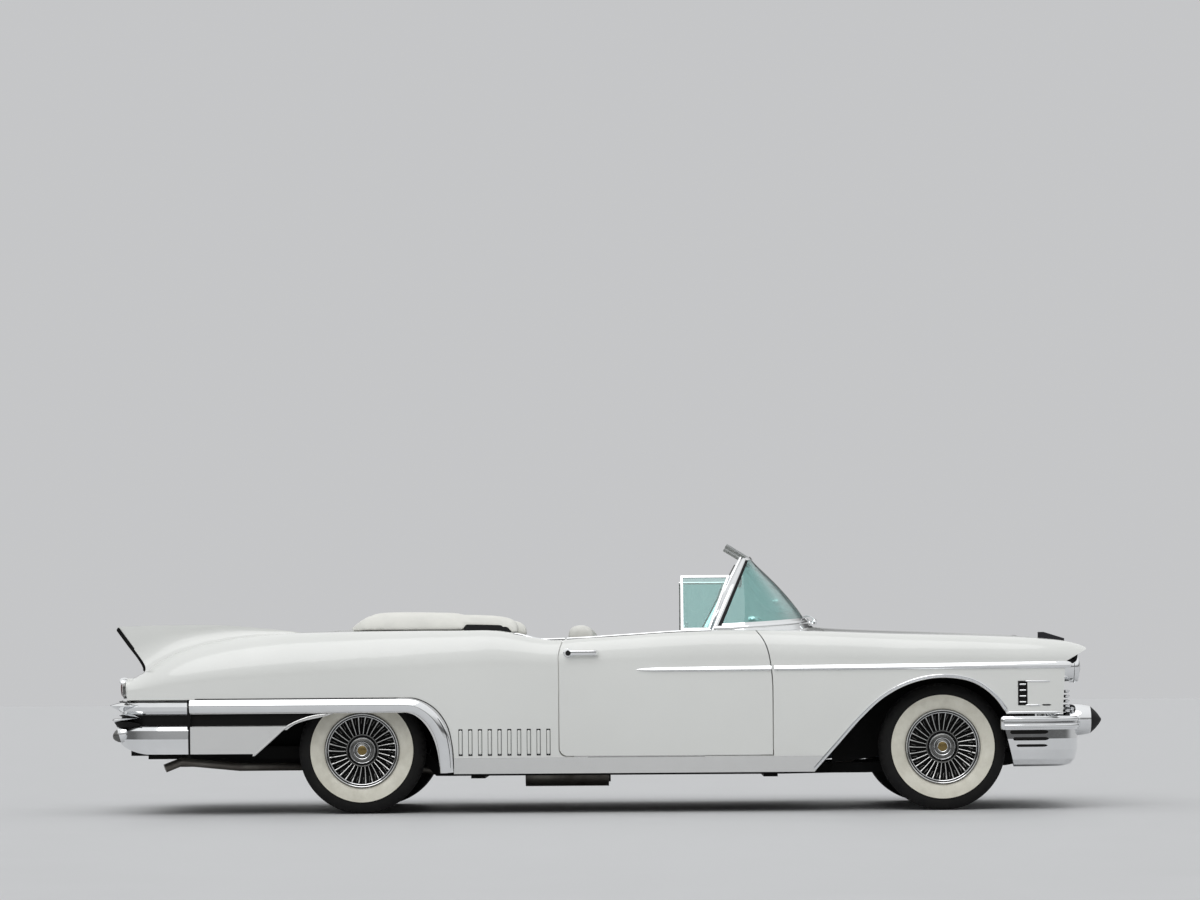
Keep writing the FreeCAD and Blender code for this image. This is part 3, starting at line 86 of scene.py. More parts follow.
shoulder_z = guide([
    (-2717, 772), (-2650, 800), (-2560, 862), (-2440, 925), (-2270, 975), (-2050, 1008), (-1700, 1029),
    (-1100, 1034), (-640, 1032), (-500, 1012), (-347, 980), (-180, 985), (100, 1001), (430, 1020),
    (700, 1026), (1100, 1018), (1580, 1000), (2100, 985), (2400, 971), (2560, 957), (2650, 940), (2717, 917)])
shoulder_y = guide([(-2717, 745), (-2300, 785), (-1800, 830), (-1200, 872), (-500, 905), (0, 920), (900, 915),
                    (1900, 890), (2500, 870), (2717, 850)])
wide_y = guide([(-2717, 872), (-2640, 905), (-2500, 945), (-2300, 975), (-1900, 1000), (-1384, 1012), (-700, 1008),
                (0, 1003), (900, 1002), (1900, 1000), (2300, 990), (2550, 972), (2717, 938)])
wide_z = guide([(-2717, 700), (-2300, 740), (-1400, 780), (-300, 805), (900, 815), (2717, 815)])
sill_y = guide([(-2717, 830), (-2300, 940), (-1400, 965), (-300, 962), (900, 962), (1900, 960), (2717, 905)])
centre_z = guide([
    (-2717, 706), (-2650, 752), (-2560, 812), (-2440, 876), (-2270, 938), (-2050, 988), (-1800, 1026),
    (-1492, 1054), (-1100, 1062), (-500, 1050), (300, 1046), (850, 1052), (1160, 1058), (1300, 1042),
    (1580, 1029), (2100, 1008), (2400, 990), (2600, 962), (2717, 925)])
roundness = guide([(-2717, 2.0), (-1500, 2.1), (-300, 2.35), (900, 2.5), (2717, 2.6)])
fin_y = guide([(-2800, 742), (-1650, 812)])


def side_half(x, z):
    """Half width of the body: a parabola from the sill to its widest line, and a superellipse from there to the
    shoulder."""
    x, z = np.asarray(x, float), np.asarray(z, float)
    top_y, top_z, wide, level, low = shoulder_y(x), shoulder_z(x), wide_y(x), wide_z(x), sill_y(x)
    t = np.clip((z - sill_z) / (level - sill_z), 0, 1)
    power = 2 / roundness(x)
    s = np.clip((z - level) / (top_z - level), 0, 1) ** (1 / power)
    above = top_y + (wide - top_y) * np.maximum(1 - s * s, 0) ** (power / 2)
    return np.where(z < level, wide - (wide - low) * (1 - t) ** 2, above)


def top_height(x, y):
    """Height of the body: a smooth step, t^2(3 - 2t), from the shoulder to the crown, and outboard of the shoulder
    the superellipse of the flank."""
    x, y = np.asarray(x, float), np.abs(np.asarray(y, float))
    top_y, top_z, wide, level = shoulder_y(x), shoulder_z(x), wide_y(x), wide_z(x)
    t = np.clip(1 - y / top_y, 0, 1)
    power = 2 / roundness(x)
    c = np.clip((y - top_y) / (wide - top_y), 0, 1) ** (1 / power)
    edge = level + (top_z - level) * np.maximum(1 - c * c, 0) ** (power / 2)
    return np.where(y < top_y, top_z + (centre_z(x) - top_z) * t * t * (3 - 2 * t), edge)


def unit(v):
    """Vectors scaled to length one."""
    return v / np.maximum(np.linalg.norm(v, axis=-1, keepdims=True), 1e-9)


def slopes_of(surface, a, b, reach=2.0):
    """The two slopes of a surface over (a, b): its rise between two points either side, over their distance."""
    return ((surface(a + reach, b) - surface(a - reach, b)) / (2 * reach),
            (surface(a, b + reach) - surface(a, b - reach)) / (2 * reach))


def on_side(xz):
    """Points of the right flank beside (x, z) pairs, and the outward direction from the surface's two slopes."""
    x, z = xz[:, 0], xz[:, 1]
    slope_x, slope_z = slopes_of(side_half, x, z)
    return np.stack([x, -side_half(x, z), z], -1), unit(np.stack([-slope_x, -np.ones_like(x), -slope_z], -1))


def on_top(xy):
    """Points of the upper surface above (x, y) pairs, and the outward direction from the surface's two slopes."""
    x, y = xy[:, 0], xy[:, 1]
    slope_x, slope_y = slopes_of(top_height, x, y)
    return np.stack([x, y, top_height(x, y)], -1), unit(np.stack([-slope_x, -slope_y, np.ones_like(x)], -1))


def distance_along(path):
    """How far along a path each of its points is: the lengths of the steps before it, added up."""
    return np.concatenate([[0], np.cumsum(np.linalg.norm(np.diff(path, axis=0), axis=1))])


def smooth_path(points, count):
    """Count points evenly along a curve of cubics through the given points, whose slopes are the points' mean
    change over the distance along them."""
    points = np.array(points, float)
    s = distance_along(points)
    slope = np.gradient(points, s, axis=0)
    t = np.linspace(0, s[-1], count)
    i = np.clip(np.searchsorted(s, t, side="right") - 1, 0, len(s) - 2)
    span = (s[i + 1] - s[i])[:, None]
    return cubic((t - s[i])[:, None] / span, points[i], points[i + 1], slope[i] * span, slope[i + 1] * span)


def half_round(width, height, steps=8, sunk=1.0):
    """Profile of a moulding: half an ellipse on a base sunk into the panel."""
    a = np.linspace(math.pi, 0, steps + 1)
    arc = np.stack([np.cos(a) * width / 2, np.sin(a) * height], -1)
    return np.concatenate([[[-width / 2, -sunk]], arc, [[width / 2, -sunk]]])


def rounded(width, height, radius):
    """Profile of a bar: a rectangle whose corners are quarter circles."""
    a = np.linspace(0, math.pi / 2, 4)
    corner = np.stack([np.cos(a), np.sin(a)], -1) * radius
    turns = [(1, 1), (-1, 1), (-1, -1), (1, -1)]
    loops = []
    for k, (sx, sy) in enumerate(turns):
        part = corner * [sx, sy] + [sx * (width / 2 - radius), sy * (height / 2 - radius)]
        loops.append(part[::-1] if k % 2 else part)
    return np.concatenate(loops)


# Grids of points: rows along a piece, columns round it
def with_ends(rows):
    """The grid with a row gathered at its middle added at each end, which closes it."""
    first, last = rows[:1].mean(1, keepdims=True), rows[-1:].mean(1, keepdims=True)
    count = rows.shape[1]
    return np.concatenate([np.repeat(first, count, 1), rows, np.repeat(last, count, 1)])


def sweep(path, out, profile, taper=(0, 0), bevel=0.0, widths=None):
    """Profile points (across, lift) carried along a path. Each point is the path's point, plus across times the
    width there and the direction square to path and out, plus lift times out. Near the ends both shrink as a
    quarter circle over the taper's lengths. A bevel adds a smaller row beyond each end."""
    tip_size, bevel_size = 0.02, 0.82
    path, out = np.asarray(path, float), np.asarray(out, float)
    along = unit(np.gradient(path, axis=0))
    out = unit(out - along * (out * along).sum(-1, keepdims=True))
    across = np.cross(along, out)
    s = distance_along(path)
    size = np.ones(len(path))
    for length, away in ((taper[0], s), (taper[1], s[-1] - s)):
        if length:
            t = np.clip(1 - away / length, 0, 1)
            size = size * np.maximum(np.sqrt(1 - t * t), tip_size)
    wide = 1.0 if widths is None else np.asarray(widths)[:, None, None]
    spread = across[:, None] * profile[None, :, :1] * wide + out[:, None] * profile[None, :, 1:]
    rows = path[:, None] + spread * size[:, None, None]
    if bevel:
        ends = []
        for row, step in ((rows[:1], -along[:1]), (rows[-1:], along[-1:])):
            middle = row.mean(1, keepdims=True)
            ends.append(middle + (row - middle) * bevel_size + step[:, None] * bevel)
        rows = np.concatenate([ends[0], rows, ends[1]])
    return with_ends(rows), False, True


def tube(path, radius, around=12, taper=(0, 0)):
    """A round bar along a path: a circle carried square to it, started from upwards, or from ahead where the path
    itself runs upwards."""
    path = np.asarray(path, float)
    along = unit(np.gradient(path, axis=0))
    guess = np.where(np.abs(along[:, 2:3]) > 0.9, [[1.0, 0, 0]], [[0, 0, 1.0]])
    a = np.linspace(0, 2 * math.pi, around, endpoint=False)
    return sweep(path, guess, np.stack([np.cos(a), np.sin(a)], -1) * radius, taper)


def turned(profile, centre, axis, around=64, loop=False):
    """(radius, along) points turned round an axis: centre plus along times the axis, plus radius times the
    direction at each angle. A profile that is a loop closes on itself, and another starts and ends on the axis."""
    profile, axis = np.array(profile, float), unit(np.array(axis, float))
    side = unit(np.cross(axis, [0.0, 0, 1.0] if abs(axis[2]) < 0.9 else [1.0, 0, 0]))
    up = np.cross(axis, side)
    a = np.linspace(0, 2 * math.pi, around, endpoint=False)
    ring = side * np.cos(a)[:, None] + up * np.sin(a)[:, None]
    points = np.array(centre, float) + profile[:, None, 1:] * axis + profile[:, None, :1] * ring
    return points, loop, True


def pillow(centre, size, power, rows, columns):
    """A rounded block: a superellipsoid, where sine and cosine are raised to a small power."""
    v = np.linspace(-math.pi / 2, math.pi / 2, rows)[:, None]
    u = np.linspace(0, 2 * math.pi, columns, endpoint=False)[None]

    def rounder(t):
        """The size of t raised to the power, with the sign of t."""
        return np.sign(t) * np.abs(t) ** power

    x = rounder(np.cos(v)) * rounder(np.cos(u))
    y = rounder(np.cos(v)) * rounder(np.sin(u))
    z = rounder(np.sin(v)) * np.ones_like(u)
    return np.stack([x, y, z], -1) * np.array(size) / 2 + np.array(centre), False, True


def bar(start, end, width, height, radius, out, bevel=1.5):
    """A straight bar with bevelled ends: a rounded rectangle carried from start to end."""
    path = np.linspace(start, end, 2)
    return sweep(path, np.tile(np.array(out, float), (2, 1)), rounded(width, height, radius), bevel=bevel)


def ring_frame(corners, normal, profile):
    """A profile of (inset, lift) points carried round flat corners: each corner moves inwards along its mitre
    by inset, and along the normal by lift."""
    corners, normal = np.array(corners, float), unit(np.array(normal, float))
    before, after = unit(corners - np.roll(corners, 1, 0)), unit(np.roll(corners, -1, 0) - corners)
    inward = np.cross(normal, after)
    sign = 1.0
    if ((corners.mean(0) - corners[0]) * (np.cross(normal, before[0]) + inward[0])).sum() < 0:
        inward, sign = -inward, -1.0
    mitre = unit(np.cross(normal, before) * sign + inward)
    mitre = mitre / (mitre * inward).sum(-1, keepdims=True)
    profile = np.array(profile, float)
    return corners[None] + mitre[None] * profile[:, None, :1] + normal * profile[:, None, 1:], True, True


def slab(corners, normal, thickness):
    """A flat plate between two copies of an outline, closed at its middle."""
    points, normal = np.array(corners, float), unit(np.array(normal, float))
    rows = np.stack([points - normal * thickness / 2, points + normal * thickness / 2])
    return with_ends(rows), False, True


def shell(front, back):
    """A closed plate between two grids: each of its rows runs along the front and returns along the back."""
    return with_ends(np.concatenate([front, back[:, ::-1]], 1)), False, True


def upright(x, half_y, low, high):
    """The corners of an upright rectangle that faces along the car."""
    return [(x, -half_y, low), (x, half_y, low), (x, half_y, high), (x, -half_y, high)]


def other_side(patches):
    """The same patches on the left of the car: their y with its sign changed."""
    return [(points * [1, -1, 1], *wraps_and_mark) for points, *wraps_and_mark in patches]


def both_sides(patches):
    """The patches of the right side and their copies on the left."""
    return patches + other_side(patches)


def marked(mark, *grids):
    """Grids that take one of a piece's materials."""
    return [grid + (mark,) for grid in grids]


def joined_mesh(name, patches):
    """Grids joined into one closed mesh with outward faces: each grid cell is a quad, and points at one place
    are merged."""
    same_place = 2e-6
    all_points, all_faces, all_marks, count = [], [], [], 0
    for points, wrap_rows, wrap_columns, mark in patches:
        rows, columns = points.shape[:2]
        a, b = np.meshgrid(np.arange(rows if wrap_rows else rows - 1),
                           np.arange(columns if wrap_columns else columns - 1), indexing="ij")
        a2, b2 = (a + 1) % rows, (b + 1) % columns
        cells = np.stack([a * columns + b, a2 * columns + b, a2 * columns + b2, a * columns + b2], -1)
        cells = cells.reshape(-1, 4)
        mark = np.broadcast_to(mark, a.shape).reshape(-1) if np.ndim(mark) else np.full(len(cells), mark)
        all_points.append(points.reshape(-1, 3))
        all_faces.append(cells + count)
        all_marks.append(mark)
        count += rows * columns
    points, faces, marks = np.concatenate(all_points), np.concatenate(all_faces), np.concatenate(all_marks)
    mesh = bpy.data.meshes.new(name)
    mesh.from_pydata((points * MM).tolist(), [], faces.tolist())
    mesh.polygons.foreach_set("material_index", marks.astype(np.int32))
    work = bmesh.new()
    work.from_mesh(mesh)
    bmesh.ops.remove_doubles(work, verts=work.verts, dist=same_place)
    bmesh.ops.recalc_face_normals(work, faces=work.faces)
    work.to_mesh(mesh)
    work.free()
    return mesh


def piece(name, body, patches, materials, replaces=(), sharp=35.0):
    """A rigid piece on one body, whose edges sharper than the limit stay crisp."""
    mesh = joined_mesh(name, patches)
    for material in materials:
        mesh.materials.append(finishes[material])
    mesh.polygons.foreach_set("use_smooth", np.ones(len(mesh.polygons), bool))
    mesh.set_sharp_from_angle(angle=math.radians(sharp))
    made = bpy.data.objects.new(name, mesh)
    bpy.context.scene.collection.objects.link(made)
    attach(made, body)
    if replaces:
        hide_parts(*replaces)
    return made


# Finishes, and the node groups that several of them share
finishes, shared = {}, {}


class Pattern:
    """Nodes being made in one tree, with short calls for the kinds used here. A value given to a node is a number,
    a colour, three numbers or another node's output."""

    def __init__(self, tree, place):
        """Works in that tree, on the coordinates that the given socket puts out."""
        self.nodes, self.links, self.place = tree.nodes, tree.links, place

    def feed(self, socket, value):
        """Sets a socket: an output by a link, and anything else on the socket itself."""
        if isinstance(value, bpy.types.NodeSocket):
            self.links.new(value, socket)
        else:
            socket.default_value = (*value, 1) if socket.type == "RGBA" else value

    def node(self, kind, **inputs):
        """A new node of that kind, with its inputs set by name."""
        made = self.nodes.new("ShaderNode" + kind)
        for name, value in inputs.items():
            self.feed(made.inputs[name.replace("_", " ")], value)
        return made

    def stretched(self, scale):
        """The coordinates scaled differently along each axis."""
        return self.node("Mapping", Vector=self.place, Scale=scale).outputs["Vector"]

    def noise(self, scale, detail=3.0, rough=0.5, place=None):
        """Cloudy noise: octaves added up, each twice as fine as the last and weaker by the rough share."""
        return self.node("TexNoise", Scale=scale, Detail=detail, Roughness=rough,
                         Vector=place or self.place).outputs["Fac"]

    def cells(self, scale):
        """Pores: the distance to the nearest of many scattered points."""
        return self.node("TexVoronoi", Scale=scale, Vector=self.place).outputs["Distance"]

    def bands(self, scale, direction):
        """Even bands across one axis: a sine wave of the coordinate times the scale."""
        made = self.node("TexWave", Scale=scale, Vector=self.place)
        made.bands_direction = direction
        return made.outputs["Fac"]

    def spread(self, fac, low, high, start=0.3, end=0.7):
        """Fac carried in a straight line from start..end to low..high."""
        return self.node("MapRange", Value=fac, From_Min=start, From_Max=end, To_Min=low,
                         To_Max=high).outputs["Result"]

    def maths(self, operation, a, b):
        """Two values joined by an arithmetic operation."""
        made = self.node("Math")
        made.operation = operation
        for socket, value in zip(made.inputs, (a, b)):
            self.feed(socket, value)
        return made.outputs["Value"]

    def colours(self, fac, stops):
        """Two colours, each with the level of fac at which it is pure, and a straight line between them."""
        (start, first), (end, second) = stops
        made = self.nodes.new("ShaderNodeMix")
        made.data_type = "RGBA"
        self.feed(made.inputs["Factor"], self.spread(fac, 0.0, 1.0, start, end))
        for socket, value in zip([s for s in made.inputs if s.type == "RGBA"], (first, second)):
            self.feed(socket, value)
        return [s for s in made.outputs if s.type == "RGBA"][0]


def node_group(name, inputs, outputs):
    """A new node group on the coordinates it is given, with the named inputs and outputs of the given kinds: its
    nodes, what comes in and what goes out."""
    tree = bpy.data.node_groups.new(name, "ShaderNodeTree")
    for way, sockets in (("INPUT", {"Vector": "Vector", **inputs}), ("OUTPUT", outputs)):
        for label, kind in sockets.items():
            tree.interface.new_socket(name=label, in_out=way, socket_type="NodeSocket" + kind)
    given = tree.nodes.new("NodeGroupInput").outputs
    shared[name] = tree
    return Pattern(tree, given["Vector"]), given, tree.nodes.new("NodeGroupOutput").inputs


def cloudy_mottling():
    """Dust, grain and worn patches: one noise. The colour goes from the first to the second between two levels of
    the noise, the roughness from low to high between its own two levels, and the height is the noise itself."""
    p, given, result = node_group(
        "cloudy_mottling", {"Scale": "Float", "Detail": "Float", "Noise Roughness": "Float", "First Level": "Float",
                            "First Colour": "Color", "Second Level": "Float", "Second Colour": "Color",
                            "Low Roughness": "Float", "High Roughness": "Float"},
        {"Colour": "Color", "Roughness": "Float", "Height": "Float"})
    cloud = p.noise(given["Scale"], given["Detail"], given["Noise Roughness"])
    p.feed(result["Colour"], p.colours(cloud, [(given["First Level"], given["First Colour"]),
                                               (given["Second Level"], given["Second Colour"])]))
    p.feed(result["Roughness"], p.spread(cloud, given["Low Roughness"], given["High Roughness"]))
    p.feed(result["Height"], cloud)


def handled_plating():
    """Handling marks on plated metal: a coarse noise times a finer one, which is stretched along the grain, carries
    the roughness from low to high. The coarse noise clears the dull colour, and a slow noise is the height."""
    p, given, result = node_group(
        "handled_plating", {"Grain": "Vector", "Dull Colour": "Color", "Clear Colour": "Color",
                            "Low Roughness": "Float", "High Roughness": "Float"},
        {"Colour": "Color", "Roughness": "Float", "Height": "Float"})
    marks = p.noise(14.0, 6.0, 0.65)
    lines = p.noise(60.0, 3.0, 0.6, p.stretched(given["Grain"]))
    p.feed(result["Colour"], p.colours(marks, [(0.2, given["Dull Colour"]), (0.8, given["Clear Colour"])]))
    p.feed(result["Roughness"], p.spread(p.maths("MULTIPLY", marks, lines), given["Low Roughness"],
                                         given["High Roughness"], 0.1, 0.45))
    p.feed(result["Height"], p.noise(7.0, 2.0))


class Shader(Pattern):
    """A material being made on Object coordinates."""

    def __init__(self, name):
        """A new finish of that name, with its Principled surface."""
        material = bpy.data.materials.new(name)
        material.use_nodes = True
        finishes[name] = material
        tree = material.node_tree
        super().__init__(tree, tree.nodes.new("ShaderNodeTexCoord").outputs["Object"])
        self.surface = tree.nodes["Principled BSDF"]

    def group(self, name, **inputs):
        """A shared node group placed in the material with its own values: its outputs."""
        made = self.nodes.new("ShaderNodeGroup")
        made.node_tree = shared[name]
        for label, value in {"Vector": self.place, **inputs}.items():
            self.feed(made.inputs[label.replace("_", " ")], value)
        return made.outputs

    def mottle(self, noise, stops, roughness, **values):
        """Colour and roughness from the cloudy mottling: the noise's scale, detail and roughness, the two colours
        with their levels, and the roughness at either end. Other sockets are set as in put. Gives its height."""
        (first_level, first), (second_level, second) = stops
        cloudy = self.group("cloudy_mottling", Scale=noise[0], Detail=noise[1], Noise_Roughness=noise[2],
                            First_Level=first_level, First_Colour=first, Second_Level=second_level,
                            Second_Colour=second, Low_Roughness=roughness[0], High_Roughness=roughness[1])
        self.put(**{"base_color": cloudy["Colour"], "roughness": cloudy["Roughness"], **values})
        return cloudy["Height"]

    def relief(self, height, strength, depth):
        """Bumps: a pattern's height times the depth in metres tilts the normal, by the given strength."""
        bump = self.node("Bump", Strength=strength, Distance=depth, Height=height)
        self.feed(self.surface.inputs["Normal"], bump.outputs["Normal"])

    def put(self, **values):
        """Sets the surface's sockets by name."""
        for name, value in values.items():
            self.feed(self.surface.inputs[name.replace("_", " ").title().replace("Ior", "IOR")], value)


def shade(colour, factor):
    """A colour made darker or lighter."""
    return tuple(min(c * factor, 1.0) for c in colour)


def paint(name, colour, roughness=0.32, coat=1.0):
    """Paint under clear coat: slow drift of colour, fine flake in the relief, slight haze in the coat."""
    s = Shader(name)
    drift = s.noise(1.6, 2.0)
    s.put(base_color=s.colours(drift, [(0.25, shade(colour, 0.965)), (0.75, shade(colour, 1.015))]),
          roughness=s.spread(s.noise(9.0, 4.0), roughness - 0.04, roughness + 0.05), coat_weight=coat,
          coat_roughness=0.03, specular_ior_level=0.5)
    s.relief(s.noise(1400.0, 1.0), 0.02, 0.0004)


def bright_metal(name, colour, low, high, grain=(1, 1, 1), waves=0.02):
    """Polished metal: roughness wanders with handling marks, and the plating has faint waves."""
    s = Shader(name)
    marks = s.group("handled_plating", Grain=grain, Dull_Colour=shade(colour, 0.93), Clear_Colour=colour,
                    Low_Roughness=low, High_Roughness=high)
    s.put(base_color=marks["Colour"], roughness=marks["Roughness"], metallic=1.0)
    s.relief(marks["Height"], waves, 0.004)


def make_finishes(colours):
    """Every finish of the car, each with the pattern of its surface, and most with its relief."""
    cloudy_mottling()
    handled_plating()
    ivory, leather_white = tuple(colours.paint), tuple(colours.leather)
    paint("pearl_paint", ivory)
    paint("dash_enamel", shade(ivory, 0.9), roughness=0.4, coat=0.5)
    bright_metal("chrome", (0.86, 0.87, 0.88), 0.03, 0.11)
    bright_metal("spoke_steel", (0.50, 0.50, 0.49), 0.12, 0.26)
    bright_metal("stainless", (0.80, 0.80, 0.79), 0.12, 0.26, (0.4, 12, 12), 0.012)
    bright_metal("mirror_face", (0.9, 0.92, 0.93), 0.01, 0.03)
    # Chrome painted darker, for painted shade and reflection: wheel rims, rings, caps and outer spoke ends, tail lamp
    # rings and bumper beaks
    bright_metal("shaded_chrome", (0.17, 0.17, 0.165), 0.12, 0.26)
    bright_metal("gilt", (0.24, 0.175, 0.07), 0.2, 0.34)
    # Chrome drawn near black for the fender ornaments: a painted dark reflection
    bright_metal("chrome_dark_reflection", (0.05, 0.05, 0.055), 0.06, 0.16)

    s = Shader("tread_rubber")
    s.mottle((18.0, 5.0, 0.5), [(0.3, (0.006, 0.006, 0.0065)), (0.8, (0.018, 0.0175, 0.0165))], (0.62, 0.85),
             specular_ior_level=0.2)
    s.relief(s.noise(420.0, 2.0), 0.25, 0.0006)

    s = Shader("whitewall")
    s.mottle((12.0, 6.0, 0.6), [(0.25, (0.64, 0.615, 0.52)), (0.62, (0.80, 0.78, 0.68))], (0.5, 0.36))
    s.relief(s.noise(500.0, 2.0), 0.08, 0.0004)

    s = Shader("matt_rubber")
    grain = s.mottle((260.0, 3.0, 0.5), [(0.3, (0.005, 0.005, 0.006)), (0.7, (0.013, 0.013, 0.014))], (0.5, 0.7),
                     specular_ior_level=0.25)
    s.relief(grain, 0.12, 0.0005)

    s = Shader("satin_black")
    s.mottle((5.0, 6.0, 0.6), [(0.35, (0.003, 0.003, 0.0035)), (0.85, (0.011, 0.0105, 0.0095))], (0.4, 0.7),
             specular_ior_level=0.12)
    s.relief(s.noise(180.0, 3.0), 0.1, 0.0008)

    s = Shader("cast_iron")
    grain = s.mottle((90.0, 5.0, 0.5), [(0.3, (0.05, 0.07, 0.10)), (0.75, (0.10, 0.13, 0.18))], (0.45, 0.65),
                     metallic=0.3)
    s.relief(grain, 0.4, 0.0015)

    s = Shader("exhaust_steel")
    s.mottle((4.0, 5.0, 0.6), [(0.3, (0.09, 0.08, 0.07)), (0.7, (0.22, 0.21, 0.19))], (0.6, 0.35), metallic=0.85)
    s.relief(s.noise(120.0, 4.0), 0.15, 0.0008)

    s = Shader("window_glass")
    s.put(base_color=s.colours(s.noise(3.0), [(0.3, (0.56, 0.785, 0.765)), (0.7, (0.60, 0.815, 0.795))]),
          transmission_weight=1.0, roughness=s.spread(s.noise(25.0, 4.0), 0.0, 0.02), ior=1.45)

    s = Shader("lamp_glass")
    flutes = s.bands(34.0, "Y")
    s.put(base_color=s.colours(s.noise(40.0), [(0.3, (0.80, 0.83, 0.84)), (0.7, (0.92, 0.94, 0.94))]),
          roughness=s.spread(flutes, 0.03, 0.1, 0, 1), coat_weight=1.0, transmission_weight=0.45, ior=1.45)
    s.relief(flutes, 0.5, 0.002)

    s = Shader("red_lens")
    rings = s.bands(60.0, "Z")
    s.put(base_color=s.colours(rings, [(0.2, (0.035, 0.002, 0.002)), (0.8, (0.085, 0.005, 0.004))]),
          roughness=s.spread(rings, 0.06, 0.16, 0, 1), coat_weight=1.0)
    s.relief(rings, 0.35, 0.0015)

    s = Shader("seat_leather")
    folds = s.mottle((26.0, 5.0, 0.6), [(0.25, shade(leather_white, 0.86)), (0.65, leather_white)], (0.36, 0.52),
                     specular_ior_level=0.4)
    s.relief(s.maths("ADD", s.maths("MULTIPLY", s.cells(420.0), 0.5), folds), 0.22, 0.0011)

    s = Shader("boot_cloth")
    warp = s.maths("ADD", s.bands(220.0, "X"), s.bands(220.0, "Y"))
    soft = s.mottle((14.0, 5.0, 0.5), [(0.25, shade(leather_white, 0.98)), (0.7, shade(leather_white, 1.07))],
                    (0.55, 0.7), sheen_weight=0.15)
    s.relief(s.maths("ADD", s.maths("MULTIPLY", warp, 0.25), soft), 0.16, 0.0012)

    s = Shader("carpet")
    tufts = s.mottle((380.0, 3.0, 0.7), [(0.3, (0.30, 0.29, 0.27)), (0.75, (0.52, 0.50, 0.46))], (0.95, 0.8))
    s.relief(tufts, 0.8, 0.003)

    s = Shader("ivory_plastic")
    s.mottle((20.0, 4.0, 0.5), [(0.3, (0.72, 0.69, 0.61)), (0.7, (0.80, 0.77, 0.70))], (0.22, 0.34),
             coat_weight=0.6, coat_roughness=0.06)
    s.relief(s.noise(300.0), 0.04, 0.0003)

    s = Shader("visor_cloth")
    grain = s.cells(500.0)
    s.put(base_color=s.colours(s.noise(30.0), [(0.3, (0.40, 0.41, 0.41)), (0.7, (0.50, 0.51, 0.51))]),
          roughness=s.spread(grain, 0.55, 0.75, 0, 1))
    s.relief(grain, 0.25, 0.0008)

    s = Shader("dial_black")
    s.mottle((200.0, 2.0, 0.5), [(0.3, (0.01, 0.012, 0.014)), (0.7, (0.02, 0.022, 0.025))], (0.25, 0.4),
             coat_weight=1.0)

    s = Shader("plate_enamel")
    worn = s.mottle((50.0, 5.0, 0.5), [(0.25, (0.60, 0.58, 0.50)), (0.6, (0.72, 0.70, 0.62))], (0.3, 0.45),
                    coat_weight=0.3)
    s.relief(worn, 0.05, 0.0005)

    s = Shader("studio_floor")
    s.mottle((2.0, 4.0, 0.5), [(0.3, (0.575, 0.58, 0.59)), (0.7, (0.60, 0.605, 0.615))], (0.5, 0.6),
             specular_ior_level=0.3)


node_finish = {
    "pearl_paint": ["front_fender_right", "front_fender_left", "hood", "trunk_lid", "rear_quarter_right",
                    "rear_quarter_left", "rear_deck", "tail_panel", "cowl", "door_right", "door_left"],
    "satin_black": ["floor_pan", "chassis_frame", "radiator", "fuel_tank", "rear_axle", "front_suspension",
                    "nose_panel"],
    "stainless": ["rocker_panels", "rear_skirts"],
    "cast_iron": ["engine_block", "steering_knuckle_right", "steering_knuckle_left"],
    "exhaust_steel": ["exhaust"],
    "chrome": ["rear_bumper", "front_bumper", "grille", "headlamp_bezels", "windshield_frame",
               "vent_window_right", "vent_window_left", "outside_mirror", "wheel_front_right", "wheel_front_left",
               "wheel_rear_right", "wheel_rear_left"],
    "matt_rubber": ["bumper_tips"],
    # The fender ornaments' chrome is drawn near black: a painted dark reflection
    "chrome_dark_reflection": ["fender_ornaments"],
    "tread_rubber": ["tyre_front_right", "tyre_front_left", "tyre_rear_right", "tyre_rear_left"],
    "lamp_glass": ["headlamp_lenses"],
    "red_lens": ["tail_lamps"],
    "window_glass": ["windshield_glass"],
    "dash_enamel": ["dashboard"],
    "ivory_plastic": ["steering_column", "steering_wheel"],
    "seat_leather": ["front_seat", "rear_seat"],
    "boot_cloth": ["boot_cover"],
    "visor_cloth": ["visors_and_mirror"],
}

wheels = {"front_right": (front_axle_x, -1), "front_left": (front_axle_x, 1),
          "rear_right": (rear_axle_x, -1), "rear_left": (rear_axle_x, 1)}


